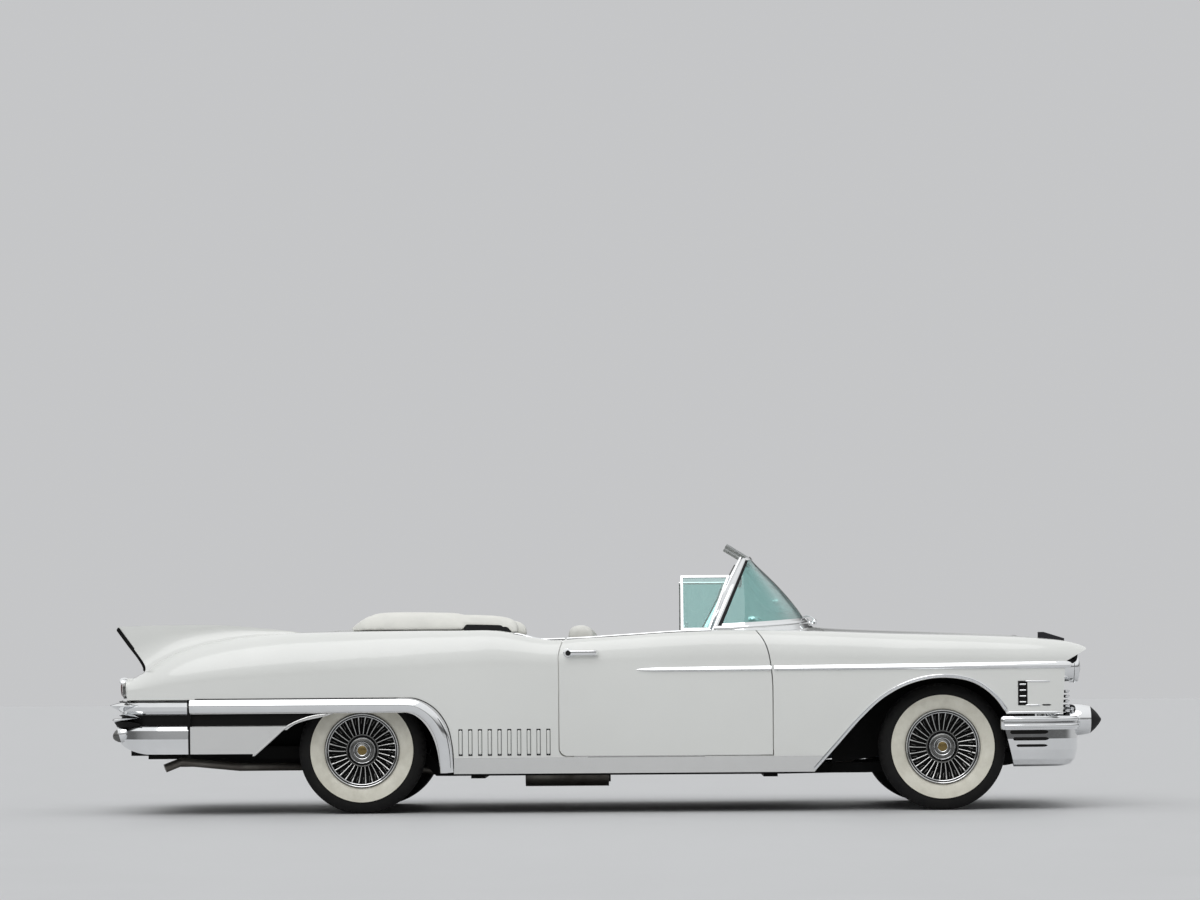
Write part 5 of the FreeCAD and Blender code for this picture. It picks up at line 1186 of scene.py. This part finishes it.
def padded(name, body, finish, patches, seams, voxel, depth, pressure=4.0):
    """A pad ready to be blown up: its skin is pressed in by the seams' depth and pinned along them, and a Cloth
    modifier with pressure and no gravity will swell the rest."""
    pinned_share, stiffness = 0.55, 22
    made = skinned(name, patches, voxel)
    points, normals = vectors(made.data) / MM, vectors(made.data, "vertex_normals", "vector")
    pressed = seams(points, normals)
    points = points - normals * (pressed * depth)[:, None]
    made.data.vertices.foreach_set("co", (points * MM).ravel())
    sewn = made.vertex_groups.new(name="sewn")
    sewn.add(np.flatnonzero(pressed > pinned_share).tolist(), 1.0, "REPLACE")
    made.data.materials.clear()
    made.data.materials.append(finishes[finish])
    made.data.polygons.foreach_set("use_smooth", np.ones(len(made.data.polygons), bool))
    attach(made, body)
    cloth = made.modifiers.new("swell", "CLOTH")
    settings = cloth.settings
    settings.quality = 4
    settings.tension_stiffness = settings.compression_stiffness = stiffness
    settings.bending_stiffness = 1.5
    settings.use_pressure, settings.uniform_pressure_force = True, pressure
    settings.vertex_group_mass = "sewn"
    settings.effector_weights.gravity = 0
    cloth.collision_settings.use_collision = False
    cloth.point_cache.frame_start, cloth.point_cache.frame_end = 1, swell_frames
    return made


def settle(pads):
    """Runs the cloth of all pads, keeps each point within its cap of where it started (the cap times the tanh of
    its move over the cap), and leaves one level of subdivision in place of the Cloth."""
    scene = bpy.context.scene
    for step in range(1, swell_frames + 1):
        scene.frame_set(step)
    graph = bpy.context.evaluated_depsgraph_get()
    for pad, cap in pads:
        start = vectors(pad.data) / MM
        swollen = pad.evaluated_get(graph).to_mesh()
        move = vectors(swollen) / MM - start
        length = np.linalg.norm(move, axis=1, keepdims=True)
        move *= cap * np.tanh(length / cap) / np.maximum(length, 1e-6)
        pad.evaluated_get(graph).to_mesh_clear()
        pad.modifiers.clear()
        pad.data.vertices.foreach_set("co", ((start + move) * MM).ravel())
        pad.data.update()
        smooth = pad.modifiers.new("smooth", "SUBSURF")
        smooth.levels = smooth.render_levels = 1
    scene.frame_set(1)


front_cushion = closed_curve([(-128, 290), (150, 288), (385, 290), (396, 400), (402, 480), (424, 560), (418, 626),
                              (376, 654), (300, 656), (180, 650), (60, 630), (-20, 604), (-130, 580), (-136, 430)])
front_back = closed_curve([(6, 652), (-18, 760), (-38, 850), (-52, 940), (-62, 1022), (-94, 1058), (-140, 1064),
                           (-186, 1052), (-204, 1008), (-202, 880), (-196, 740), (-192, 626), (-100, 630)])
rear_cushion = closed_curve([(-720, 290), (-560, 288), (-412, 290), (-404, 400), (-394, 470), (-366, 540),
                             (-372, 598), (-424, 618), (-560, 612), (-700, 588), (-780, 572), (-790, 430)])
rear_back = closed_curve([(-716, 612), (-734, 700), (-756, 800), (-772, 880), (-786, 952), (-812, 982), (-850, 990),
                          (-886, 980), (-890, 880), (-890, 740), (-888, 606), (-800, 596)])


rear_half_width = 632.0


def seat_pads():
    """Every pad of the two seats: name, blocks, seams, voxel, seam depth and cap."""
    side_margin = 96
    pads = []
    for label, y0, y1 in (("right", -764.0, -4.0), ("left", 4.0, 764.0)):
        pleats = np.linspace(y0 + side_margin, y1 - side_margin, 11)
        pads.append(("front_cushion_" + label, [across_block(front_cushion, y0, y1, 34.0)],
                     quilted(pleats, 0, -60, 352, (0.2, 0, 1), [352.0]), 17.0, 6.0, 8.0))
        pads.append(("front_backrest_" + label, [across_block(front_back, y0, y1, 38.0)],
                     quilted(pleats, 2, 660, 972, (1, 0, 0.1), [972.0]), 14.0, 6.0, 8.0))
    pleats = np.linspace(-540, 540, 19)
    pads.append(("rear_cushion", [across_block(rear_cushion, -rear_half_width, rear_half_width, 34.0)],
                 quilted(pleats, 0, -700, -432, (0.2, 0, 1), [-432.0]), 18.0, 6.0, 7.0))
    pads.append(("rear_backrest", [across_block(rear_back, -rear_half_width, rear_half_width, 36.0)],
                 quilted(pleats, 2, 620, 916, (1, 0, 0.1), [916.0]), 15.0, 6.0, 7.0))
    return pads


boot_top = guide([(-1492, 1046), (-1465, 1058), (-1436, 1076), (-1404, 1096), (-1366, 1115), (-1318, 1130),
                  (-1262, 1137), (-1150, 1139), (-920, 1134), (-700, 1126), (-600, 1117), (-552, 1106),
                  (-524, 1093), (-506, 1074), (-497, 1054)])
boot_half = guide([(-1492, 450), (-1470, 570), (-1440, 655), (-1404, 712), (-1350, 750), (-1280, 768), (-1200, 772),
                   (-520, 772), (-497, 764)])


def boot_surface(x, y):
    """Height of the boot: level across, and along each side a roll that falls as a superellipse."""
    roll = 76.0
    edge = top_height(x, y) + 2.0
    share = np.clip((np.abs(y) - boot_half(x) + roll) / roll, 0, 1)
    return edge + np.maximum(boot_top(x) - edge, 4) * (1 - share ** 3.4) ** 0.5


def boot_blocks():
    """The boot as a block behind the seat and an arm along each side, with upper and lower skins from the same
    stations. Across each the points bunch at the edges, as the sine of an even share. The arms' inner edge falls
    as a quarter circle, and ahead of the step their outer edge stands clear of the deck."""
    arm_inner, inner_roll, step_height = 640.0, 34.0, 33.0
    blocks = []
    for side, x, count in ((0, np.linspace(-1488, -846, 50), 60), (-1, np.linspace(-900, -498, 44), 24),
                           (1, np.linspace(-900, -498, 44), 24)):
        bunched = np.sin(np.linspace(-1, 1, count) * math.pi / 2)[None]
        if side:
            middle, half = (boot_half(x) + arm_inner) / 2, (boot_half(x) - arm_inner) / 2
            y = side * (middle[:, None] + half[:, None] * bunched * 0.998)
        else:
            y = boot_half(x)[:, None] * bunched * 0.998
        grid_x = np.repeat(x[:, None], count, 1)
        deck, upper = top_height(grid_x, y), boot_surface(grid_x, y)
        if side:
            fall = np.clip((np.abs(y) - arm_inner) / inner_roll, 0, 1)
            upper = deck + (upper - deck) * np.sqrt(1 - (1 - fall) ** 2)
        raised = step_height * window(grid_x, -808, -538, 3.0) * window(np.abs(y), 735, 900, 12.0)
        lower = np.minimum(deck + 2.5 + raised, upper - 3)
        blocks.append(shell(np.stack([grid_x, y, upper], -1), np.stack([grid_x, y, lower], -1)))
    return blocks


def boot_seams(points, normals):
    """The boot's sewn lines: a seam along each side above its edge, one across the back, and short pleats
    gathered at the front corners."""
    side_y, back_x = 712.0, -1348.0
    x, y, z = points[:, 0], np.abs(points[:, 1]), points[:, 2]
    up = np.clip(normals[:, 2] * 2 + 0.6, 0, 1)
    side = seam_lines(y, [side_y], 5.0) * window(x, back_x - 2, -560) * up
    across = seam_lines(x, [back_x], 5.0) * window(y, -10, side_y) * up
    pleats = seam_lines(x + (1110 - z) * 0.35, [-576.0, -560.0, -545.0], 3.6) * window(y, 690, 900) * 0.8
    return np.maximum(np.maximum(side, across) * 0.7, pleats)


def boot_details():
    """The dark piping under the boot's edge, and a dark upright strip in the slot beside the boot's raised edge."""
    x = np.linspace(-1406, -812, 60)
    y = -(boot_half(x) + 1.5)
    line = np.stack([x, y, top_height(x, y) + 3.0], -1)
    piping = tube(line, 3.0, 8, (6, 6))
    x = np.linspace(-806, -538, 30)
    y = np.full_like(x, -760.0)
    low = np.stack([x, y, top_height(x, y) + 0.5], -1)
    high = low + [0, 0, 34.0]
    edge = np.stack([low + [0, -4, 0], high + [0, -4, 0], high + [0, 6, 0], low + [0, 6, 0]], 1)
    return marked(0, piping, (with_ends(edge), False, True))


# Inside the cabin
def stations(*runs):
    """Coordinates in runs of even steps, where each run is its start, its end and its number of points."""
    return np.unique(np.concatenate([np.linspace(*run) for run in runs]))


def door_card():
    """A padded door card: a field of upright pleats between two bright strips, an armrest, a window winder and a
    latch lever. The pleats stand out by the root of a sine's size, and the rim falls as the root of the distance
    to the edge."""
    rear, front, low, high, wall_y = -196, 876, 350, 968, 867.0
    pleat_width, pleat_depth, rim_width, rim_depth = 48.0, 4.5, 14.0, 6.0
    x = stations((rear, -180, 7), (-180, 860, 186), (860, front, 7))
    z = stations((low, 366, 7), (366, 548, 6), (548, 572, 9), (572, 788, 8), (788, 812, 9), (812, 952, 6),
                 (952, high, 7))
    grid_x, grid_z = np.meshgrid(x, z, indexing="ij")
    field = window(grid_z, 560, 800, 6.0) * window(grid_x, -150, 830, 6.0)
    pleats = pleat_depth * np.abs(np.sin(math.pi * grid_x / pleat_width)) ** 0.5 * field
    edge = np.minimum(np.minimum(grid_x - rear, front - grid_x), np.minimum(grid_z - low, high - grid_z))
    rim = rim_depth * np.sqrt(np.clip(edge / rim_width, 0, 1))
    card = shell(np.stack([grid_x, -(wall_y - rim - pleats), grid_z], -1),
                 np.stack([grid_x, np.full_like(grid_x, -wall_y - 0.6), grid_z], -1))
    strips = [sweep(np.linspace([-170, -861, z], [850, -861, z], 30), np.tile(to_left, (30, 1)),
                    half_round(12, 5), (8, 8)) for z in (552, 806)]
    rest = pillow((250, -838, 640), (420, 52, 62), 0.4, 21, 60)
    winder = tube(smooth_path([(560, -850, 700), (560, -842, 700), (520, -838, 676), (486, -836, 660)], 16),
                  6, 12, (4, 4))
    knob = turned([(0, 0), (13, 0), (14, 8), (11, 22), (0, 25)], (486, -838, 660), to_left, 24)
    boss = turned([(0, 0), (24, 0), (22, 7), (10, 12), (0, 13)], (560, -861, 700), to_left, 32)
    lever = tube(smooth_path([(640, -856, 720), (640, -842, 720), (700, -840, 722), (740, -842, 724)], 16),
                 6, 12, (4, 8))
    return marked(0, card, rest) + marked(1, *strips, winder, boss, lever) + marked(2, knob)


def floor_carpet():
    """Carpets that lie on the front floor and behind the front seat. Their pile rises as the root of the distance
    to the edge, and waves as a sine along the car times a cosine across it."""
    half_y, floor_z, pile, wave = 806, 270.6, 6.0, 0.8
    carpets = []
    for start, end in ((444, 1116), (-392, -206)):
        grid_x, grid_y = np.meshgrid(np.linspace(start, end, 48), np.linspace(-half_y, half_y, 64), indexing="ij")
        edge = np.minimum(np.minimum(grid_x - start, end - grid_x), half_y - np.abs(grid_y))
        waves = wave * np.sin(grid_x / 23.0) * np.cos(grid_y / 31.0)
        top = floor_z + 0.9 + pile * np.sqrt(np.clip(edge / 10.0, 0, 1)) + waves
        carpets.append(shell(np.stack([grid_x, grid_y, top], -1),
                             np.stack([grid_x, grid_y, np.full_like(top, floor_z)], -1)))
    return carpets


dash_run, dash_drop = 24.0, 62.0
dash_face = unit(np.array([-dash_drop, 0, -dash_run]))


def dash_details():
    """The instruments: a wide speedometer hood, two round dials, a row of knobs, the radio with its buttons, a
    glovebox door and a bright strip right across."""
    def spot(y, z):
        """A point on the dashboard's face, which leans in a straight line."""
        return np.array([880 - (z - 900) * dash_run / dash_drop, y, z])

    centres = [spot(y, 932) for y in (262, 488)]
    ring = [(0, 0), (0, 1), (36, 1), (38, 5), (43, 7), (47, 4), (47, 0)]
    dials = [turned(ring, centre, dash_face, 48) for centre in centres]
    faces = [turned([(0, 0), (36, 0), (36, 2.2), (0, 2.4)], centre, dash_face, 40) for centre in centres]
    pivots = [centre + dash_face * 3.4 for centre in centres]
    needles = [bar(pivot + [0, -4, -6], pivot + [0, 20, 16], 2.4, 1.2, 0.4, dash_face, 0.3) for pivot in pivots]
    speed = pillow(spot(375, 934) + dash_face * 2, (12, 128, 44), 0.35, 15, 40)
    strip = sweep(np.linspace([864, -806, 868], [864, 806, 868], 60), np.tile([-1.0, 0, 0], (60, 1)),
                  half_round(14, 6))
    radio = pillow(spot(0, 930) + dash_face * 1, (12, 210, 46), 0.3, 15, 40)
    buttons = [pillow(spot(-44 + 22 * i, 921) + dash_face * 8, (9, 16, 10), 0.4, 9, 16) for i in range(5)]
    knob = [(0, 0), (11, 0), (12, 3), (10.5, 15), (8, 18), (0, 18.5)]
    knobs = [turned(knob, spot(y, 905), dash_face, 20) for y in (-92, 92, 170, 205, 545, 580)]
    door = ring_frame([spot(-700, 912), spot(-400, 912), spot(-400, 954), spot(-700, 954)], dash_face,
                      [(0, -1), (0, 2), (3, 3.5), (6, 2), (6, -1)])
    latch = turned([(0, 0), (13, 0), (12, 5), (0, 7)], spot(-550, 933), dash_face, 24)
    return (marked(0, *dials, strip, door, latch, *knobs, *buttons) + marked(1, *faces, speed, radio)
            + marked(2, *needles))


def horn_ring():
    """The bright half ring inside the steering wheel, an arc round the wheel's leaning axis, its two stays and
    the plain boss."""
    lean, radius, centre = math.radians(24), 128, np.array([585, 375, 985.0])
    axis = np.array([-math.cos(lean), 0, math.sin(lean)])
    down = np.cross(axis, to_left)
    down = down * -np.sign(down[2])
    a = np.linspace(-0.15, math.pi + 0.15, 50)[:, None]
    ring = centre + axis * 12 + (to_left * np.cos(a) + down * np.sin(a)) * radius
    stays = [tube(np.linspace(centre + axis * 8 + to_left * y, end, 6), 4.0, 10, (2, 2))
             for y, end in ((30, ring[0]), (-30, ring[-1]))]
    boss = turned([(0, 6), (40, 6), (41, 12), (34, 20), (20, 25), (0, 27)], centre, axis, 48)
    return marked(0, tube(ring, 5.0, 12, (5, 5)), *stays, boss)


def inner_panels():
    """The right one of the dark upright panels between the front wheels and the engine, whose lower edge is
    arched over the axle."""
    wall_y, thickness, top = -472.0, 4.0, 940.0
    x, t = np.linspace(1296, 2300, 60), np.linspace(0, 1, 24)
    low = guide([(1296, 262), (1600, 306), (1760, 380), (front_axle_x, 480), (2150, 415), (2300, 330)])(x)
    height = low[:, None] * (1 - t) + top * t
    wall = np.stack([np.repeat(x[:, None], len(t), 1), np.full_like(height, wall_y), height], -1)
    return [shell(wall, wall + to_left * thickness)]


class CarColours(bpy.types.PropertyGroup):
    """The colours of the body and of its leather."""
    paint: bpy.props.FloatVectorProperty(name="Paint", description="Colour of the body panels", subtype="COLOR",
                                         size=3, min=0, max=1, default=(0.80, 0.81, 0.785))
    leather: bpy.props.FloatVectorProperty(name="Leather", description="Colour of the seats, door cards and boot",
                                           subtype="COLOR", size=3, min=0, max=1, default=(0.82, 0.815, 0.77))


class TyreSizes(bpy.types.PropertyGroup):
    """Sizes of the white band on each tyre."""
    white_inner: bpy.props.FloatProperty(name="White band inner radius", description="Where the white starts",
                                         default=0.212, unit="LENGTH")
    white_outer: bpy.props.FloatProperty(name="White band outer radius", description="Where the white ends",
                                         default=0.2915, unit="LENGTH")


class StageSizes(bpy.types.PropertyGroup):
    """The studio's floor, light and camera."""
    floor_half: bpy.props.FloatProperty(name="Floor half width", description="Half the floor's width",
                                        default=90.0, unit="LENGTH")
    key_strength: bpy.props.FloatProperty(name="Key light", description="Strength of the soft key light",
                                          default=0.95)
    lens: bpy.props.FloatProperty(name="Lens", description="Focal length of the camera", default=113.55,
                                  subtype="DISTANCE_CAMERA")


# The operators, in the order in which main calls them
both_hands = (("right", list), ("left", other_side))


class CAR_OT_finishes(bpy.types.Operator):
    """Make the finishes and put them on the frame's own pieces"""
    bl_idname = "car.finishes"
    bl_label = "Finishes"

    def execute(self, context):
        make_finishes(context.scene.car_colours)
        for finish, names in node_finish.items():
            for name in names:
                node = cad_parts[name]
                if not node.material_slots:
                    node.data.materials.append(finishes[finish])
                for slot in node.material_slots:
                    slot.material = finishes[finish]
        return {"FINISHED"}


class CAR_OT_tyres(bpy.types.Operator):
    """Build the four tyres with their tread and white band"""
    bl_idname = "car.tyres"
    bl_label = "Tyres"

    def execute(self, context):
        for name, (x, side) in wheels.items():
            piece("dressed_tyre_" + name, "wheel_%s_body" % name,
                  [tyre(x, side, context.scene.tyre_sizes)], ["tread_rubber", "whitewall"], ["tyre_" + name], 30)
        return {"FINISHED"}


class CAR_OT_wheels(bpy.types.Operator):
    """Build the four wire wheels"""
    bl_idname = "car.wheels"
    bl_label = "Wire wheels"

    def execute(self, context):
        for name, (x, side) in wheels.items():
            # The fourth finish is chrome painted darker as painted reflection and shade; satin black also paints
            # shade in the dish and a row of spokes
            piece("wire_wheel_" + name, "wheel_%s_body" % name, wheel(x, side),
                  ["chrome", "satin_black", "spoke_steel", "shaded_chrome", "gilt"], ["wheel_" + name], 32)
        return {"FINISHED"}


class CAR_OT_side_trim(bpy.types.Operator):
    """Build the mouldings along the flanks, on the fenders, doors and rear quarters"""
    bl_idname = "car.side_trim"
    bl_label = "Side trim"

    def execute(self, context):
        fixed = marked(0, spear(952, 2636, (0, 46)), belt(-520, -228, taper=(30, 0)),
                       side_strip(arch_lip, lip_profile, (10, 14), 12, 11.0))
        fixed += marked(0, strip_on(rib_path(0.5), band_crest))
        # Mark 1: a thin dark line over the band, and the painted shadow strip under the belt moulding
        fixed += marked(1, strip_on(rib_path(-0.035)[1:-2], half_round(5, 2.5, 4), 1.5), belt_shadow_line(-520, -228))
        for share in (0.2, 0.45, 0.7):
            fixed += marked(1, strip_on(rib_path(share)[-34:-2], half_round(4, 2.2, 4), 12.0, (60, 4)))
        # On the door too, a painted shadow strip under the belt moulding
        door = marked(0, spear(174, 936, (120, 0)), belt(-216, 600)) + marked(1, belt_shadow_line(-216, 600))
        for label, patches in (("fixed", fixed), ("door", door)):
            for side, turn in both_hands:
                body = "body" if label == "fixed" else "door_%s_body" % side
                piece("side_trim_%s_%s" % (label, side), body, turn(patches),
                      ["chrome", "matt_rubber"])
        return {"FINISHED"}


class CAR_OT_windows(bpy.types.Operator):
    """Build the vent windows, the windshield's trim and the wipers"""
    bl_idname = "car.windows"
    bl_label = "Windows and wipers"

    def execute(self, context):
        pane = marked(0, slab(vent_outline(13, 15), vent_normal, 5))
        for side, turn in both_hands:
            door = "door_%s_body" % side
            piece("vent_frame_" + side, door, turn(vent_frame()), ["chrome"], ["vent_window_" + side])
            piece("vent_pane_" + side, door, turn(pane), ["window_glass"])
        piece("windshield_trim", "body", posts() + marked(0, windshield_base()),
              ["chrome", "matt_rubber"])
        piece("wipers", "body", wiper(-1) + wiper(1), ["chrome", "matt_rubber"])
        piece("cowl_vents", "body", marked(0, *cowl_vents()), ["satin_black"])
        return {"FINISHED"}


class CAR_OT_nose(bpy.types.Operator):
    """Build the side grilles, the grille's studs, the headlamp rings and the front bumper's trim"""
    bl_idname = "car.nose"
    bl_label = "Nose"

    def execute(self, context):
        piece("side_grilles", "body", both_sides(side_grille()), ["chrome", "satin_black"])
        piece("grille_studs", "body", marked(0, *grille_studs(), *grille_ends()), ["chrome"])
        piece("headlamp_rings", "body", marked(0, *headlamp_rings()), ["chrome"])
        piece("front_bumper_trim", "body", front_bumper_trim(), ["chrome", "satin_black"])
        piece("front_plate", "body", plate(2716, 360, 1), ["chrome", "plate_enamel"])
        return {"FINISHED"}


class CAR_OT_tail(bpy.types.Operator):
    """Build the fins' edges, the lamp rings, the dark insets, the louvres and the rear bumper's trim"""
    bl_idname = "car.tail"
    bl_label = "Tail"

    def execute(self, context):
        # The third finish is chrome painted darker, a painted reflection on the lamp rings and bumper beaks
        metals = ["chrome", "satin_black", "shaded_chrome"]
        piece("tail_trim", "body", both_sides(tail_trim()), metals)
        piece("wheel_opening_lips", "body", both_sides(marked(0, *rear_lip_trim())), ["stainless"])
        seam = side_patch(np.linspace(-2364, -2347, 4), 326.0, 651.0, 4.6, 3)
        piece("lower_insets", "body", both_sides(marked(0, recess_strip(), seam)), ["satin_black"])
        piece("rear_bumper_trim", "body", rear_bumper_trim(), metals)
        piece("rear_plate", "body", plate(-2838, 470, -1), ["chrome", "plate_enamel"])
        louvres = both_sides(marked(1, *louvre_shadows()) + marked(0, *louvre_caps()))
        piece("louvres", "body", louvres, ["pearl_paint", "satin_black"])
        return {"FINISHED"}


class CAR_OT_handles(bpy.types.Operator):
    """Build the outside door handles"""
    bl_idname = "car.handles"
    bl_label = "Door handles"

    def execute(self, context):
        for side, turn in both_hands:
            piece("door_handle_" + side, "door_%s_body" % side, turn(door_handle()),
                  ["chrome", "matt_rubber"])
        return {"FINISHED"}


class CAR_OT_seats(bpy.types.Operator):
    """Build the seats and the boot as padded pieces, and the boot's piping"""
    bl_idname = "car.seats"
    bl_label = "Seats and boot"

    def execute(self, context):
        pads = []
        for name, blocks, seams, voxel, depth, cap in seat_pads():
            pad = padded(name, "body", "seat_leather", marked(0, *blocks), seams, voxel, depth)
            pads.append((pad, cap))
        boot = padded("top_boot", "body", "boot_cloth", marked(0, *boot_blocks()), boot_seams,
                      13.0, 5.0, 2.0)
        pads.append((boot, 5.0))
        settle(pads)
        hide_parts("front_seat")
        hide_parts("rear_seat")
        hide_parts("boot_cover")
        piece("boot_edges", "body", both_sides(boot_details()), ["matt_rubber"])
        return {"FINISHED"}


class CAR_OT_cabin(bpy.types.Operator):
    """Build the door cards, carpets, instruments, horn ring and mirror face"""
    bl_idname = "car.cabin"
    bl_label = "Cabin"

    def execute(self, context):
        for side, turn in both_hands:
            piece("door_card_" + side, "door_%s_body" % side, turn(door_card()),
                  ["seat_leather", "chrome", "ivory_plastic"])
        piece("carpets", "body", marked(0, *floor_carpet()), ["carpet"])
        piece("instruments", "body", dash_details(), ["chrome", "dial_black", "ivory_plastic"])
        piece("horn_ring", "steering_wheel_body", horn_ring(), ["chrome"])
        face = slab(upright(774.6, 110, 1294, 1328), (-1, 0, 0), 2.0)
        piece("mirror_face", "body", marked(0, face), ["mirror_face"])
        piece("wheelhouse_panels", "body", both_sides(marked(0, *inner_panels())), ["satin_black"])
        return {"FINISHED"}


class CAR_OT_stage(bpy.types.Operator):
    """Set the floor, the lights, the background and the camera"""
    bl_idname = "car.stage"
    bl_label = "Stage"

    def execute(self, context):
        sizes = context.scene.stage_sizes
        half = sizes.floor_half
        mesh = bpy.data.meshes.new("studio_floor")
        mesh.from_pydata([(-half, -half, 0), (half, -half, 0), (half, half, 0), (-half, half, 0)], [], [(0, 1, 2, 3)])
        mesh.materials.append(finishes["studio_floor"])
        floor = bpy.data.objects.new("studio_floor", mesh)
        context.scene.collection.objects.link(floor)

        key = bpy.data.lights.new("key", "SUN")
        key.energy, key.angle = sizes.key_strength, math.radians(50)
        lamp = bpy.data.objects.new("key", key)
        lamp.rotation_euler = (math.radians(38), math.radians(-12), 0)
        context.scene.collection.objects.link(lamp)

        world = bpy.data.worlds.new("studio")
        world.use_nodes = True
        nodes, links = world.node_tree.nodes, world.node_tree.links
        back = nodes["Background"]
        place = nodes.new("ShaderNodeTexCoord")
        split = nodes.new("ShaderNodeSeparateXYZ")
        links.new(place.outputs["Generated"], split.inputs["Vector"])

        def sky(levels):
            """Grey levels by height: straight lines between (height, level) pairs, a little bluer than grey."""
            ramp = nodes.new("ShaderNodeValToRGB")
            stops = ramp.color_ramp.elements
            for k, (position, level) in enumerate(levels):
                stop = stops[k] if k < 2 else stops.new(position)
                stop.position, stop.color = position, (level * 0.985, level * 0.995, level, 1)
            links.new(split.outputs["Z"], ramp.inputs["Fac"])
            return ramp.outputs["Color"]

        def mixed(factor, first):
            """A mix, which is the first colour times (1 - factor) plus a second times the factor. It gives the
            second colour's socket and the result's."""
            mix = nodes.new("ShaderNodeMix")
            mix.data_type = "RGBA"
            colour_inputs = [s for s in mix.inputs if s.type == "RGBA"]
            links.new(factor, mix.inputs["Factor"])
            links.new(first, colour_inputs[0])
            return colour_inputs[1], [s for s in mix.outputs if s.type == "RGBA"][0]

        seen = nodes.new("ShaderNodeLightPath")
        direct = nodes.new("ShaderNodeMath")
        direct.operation = "MAXIMUM"
        links.new(seen.outputs["Is Camera Ray"], direct.inputs[0])
        links.new(seen.outputs["Is Transmission Ray"], direct.inputs[1])
        light = sky(((0.0, 0.54), (0.86, 0.88), (0.08, 0.46), (0.15, 0.13), (0.23, 0.14), (0.36, 0.50)))
        mirrored, either = mixed(seen.outputs["Is Glossy Ray"], light)
        links.new(sky(((0.0, 0.54), (0.9, 0.98), (0.055, 0.52), (0.09, 0.13), (0.15, 0.12), (0.20, 0.48),
                       (0.34, 0.86))), mirrored)
        backdrop, outcome = mixed(direct.outputs["Value"], either)
        backdrop.default_value = (0.56, 0.565, 0.575, 1)
        links.new(outcome, back.inputs["Color"])
        back.inputs["Strength"].default_value = 1.0
        context.scene.world = world

        camera = bpy.data.cameras.new("camera")
        camera.sensor_width, camera.sensor_fit, camera.lens = 36.0, "HORIZONTAL", sizes.lens
        camera.clip_end = 500
        shot = bpy.data.objects.new("camera", camera)
        context.scene.collection.objects.link(shot)
        camera_place = (0.2805, -22.365, 0.768)
        yaw, pitch, roll = math.radians(0.806), math.radians(3.423), math.radians(0.416)
        right = np.array([math.cos(yaw), math.sin(yaw), 0])
        ahead = np.array([-math.sin(yaw) * math.cos(pitch), math.cos(yaw) * math.cos(pitch), math.sin(pitch)])
        up = np.cross(right, ahead)
        tilted = right * math.cos(roll) - up * math.sin(roll)
        upright = up * math.cos(roll) + right * math.sin(roll)
        pose = np.eye(4)
        pose[:3] = np.stack([tilted, upright, -ahead, camera_place], -1)
        shot.matrix_world = Matrix(pose.tolist())
        context.scene.camera = shot
        context.scene.view_settings.view_transform = "Standard"
        return {"FINISHED"}


class CAR_PT_panel(bpy.types.Panel):
    """Lists the steps that dress the car"""
    bl_label = "Convertible"
    bl_idname = "CAR_PT_panel"
    bl_space_type = "VIEW_3D"
    bl_region_type = "UI"
    bl_category = "Convertible"

    def draw(self, context):
        """Shows the colours and sizes, then a button for each operator."""
        for group in (context.scene.car_colours, context.scene.tyre_sizes, context.scene.stage_sizes):
            for name in group.bl_rna.properties.keys():
                if name not in ("rna_type", "name"):
                    self.layout.prop(group, name)
        for operator in operators:
            self.layout.operator(operator.bl_idname)


operators = [CAR_OT_finishes, CAR_OT_tyres, CAR_OT_wheels, CAR_OT_side_trim, CAR_OT_windows, CAR_OT_nose,
             CAR_OT_tail, CAR_OT_handles, CAR_OT_seats, CAR_OT_cabin, CAR_OT_stage]
groups = {"car_colours": CarColours, "tyre_sizes": TyreSizes, "stage_sizes": StageSizes}


def register():
    """Adds the groups, the operators and the panel to Blender."""
    for group in groups.values():
        bpy.utils.register_class(group)
    for name, group in groups.items():
        setattr(bpy.types.Scene, name, bpy.props.PointerProperty(type=group))
    for operator in operators:
        bpy.utils.register_class(operator)
    bpy.utils.register_class(CAR_PT_panel)


def unregister():
    """Takes them out again, in the opposite order."""
    bpy.utils.unregister_class(CAR_PT_panel)
    for operator in reversed(operators):
        bpy.utils.unregister_class(operator)
    for name, group in groups.items():
        delattr(bpy.types.Scene, name)
        bpy.utils.unregister_class(group)


def main():
    """Registers the add-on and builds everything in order."""
    register()
    for operator in operators:
        group, name = operator.bl_idname.split(".")
        getattr(getattr(bpy.ops, group), name)()


if __name__ == "__main__":
    main()
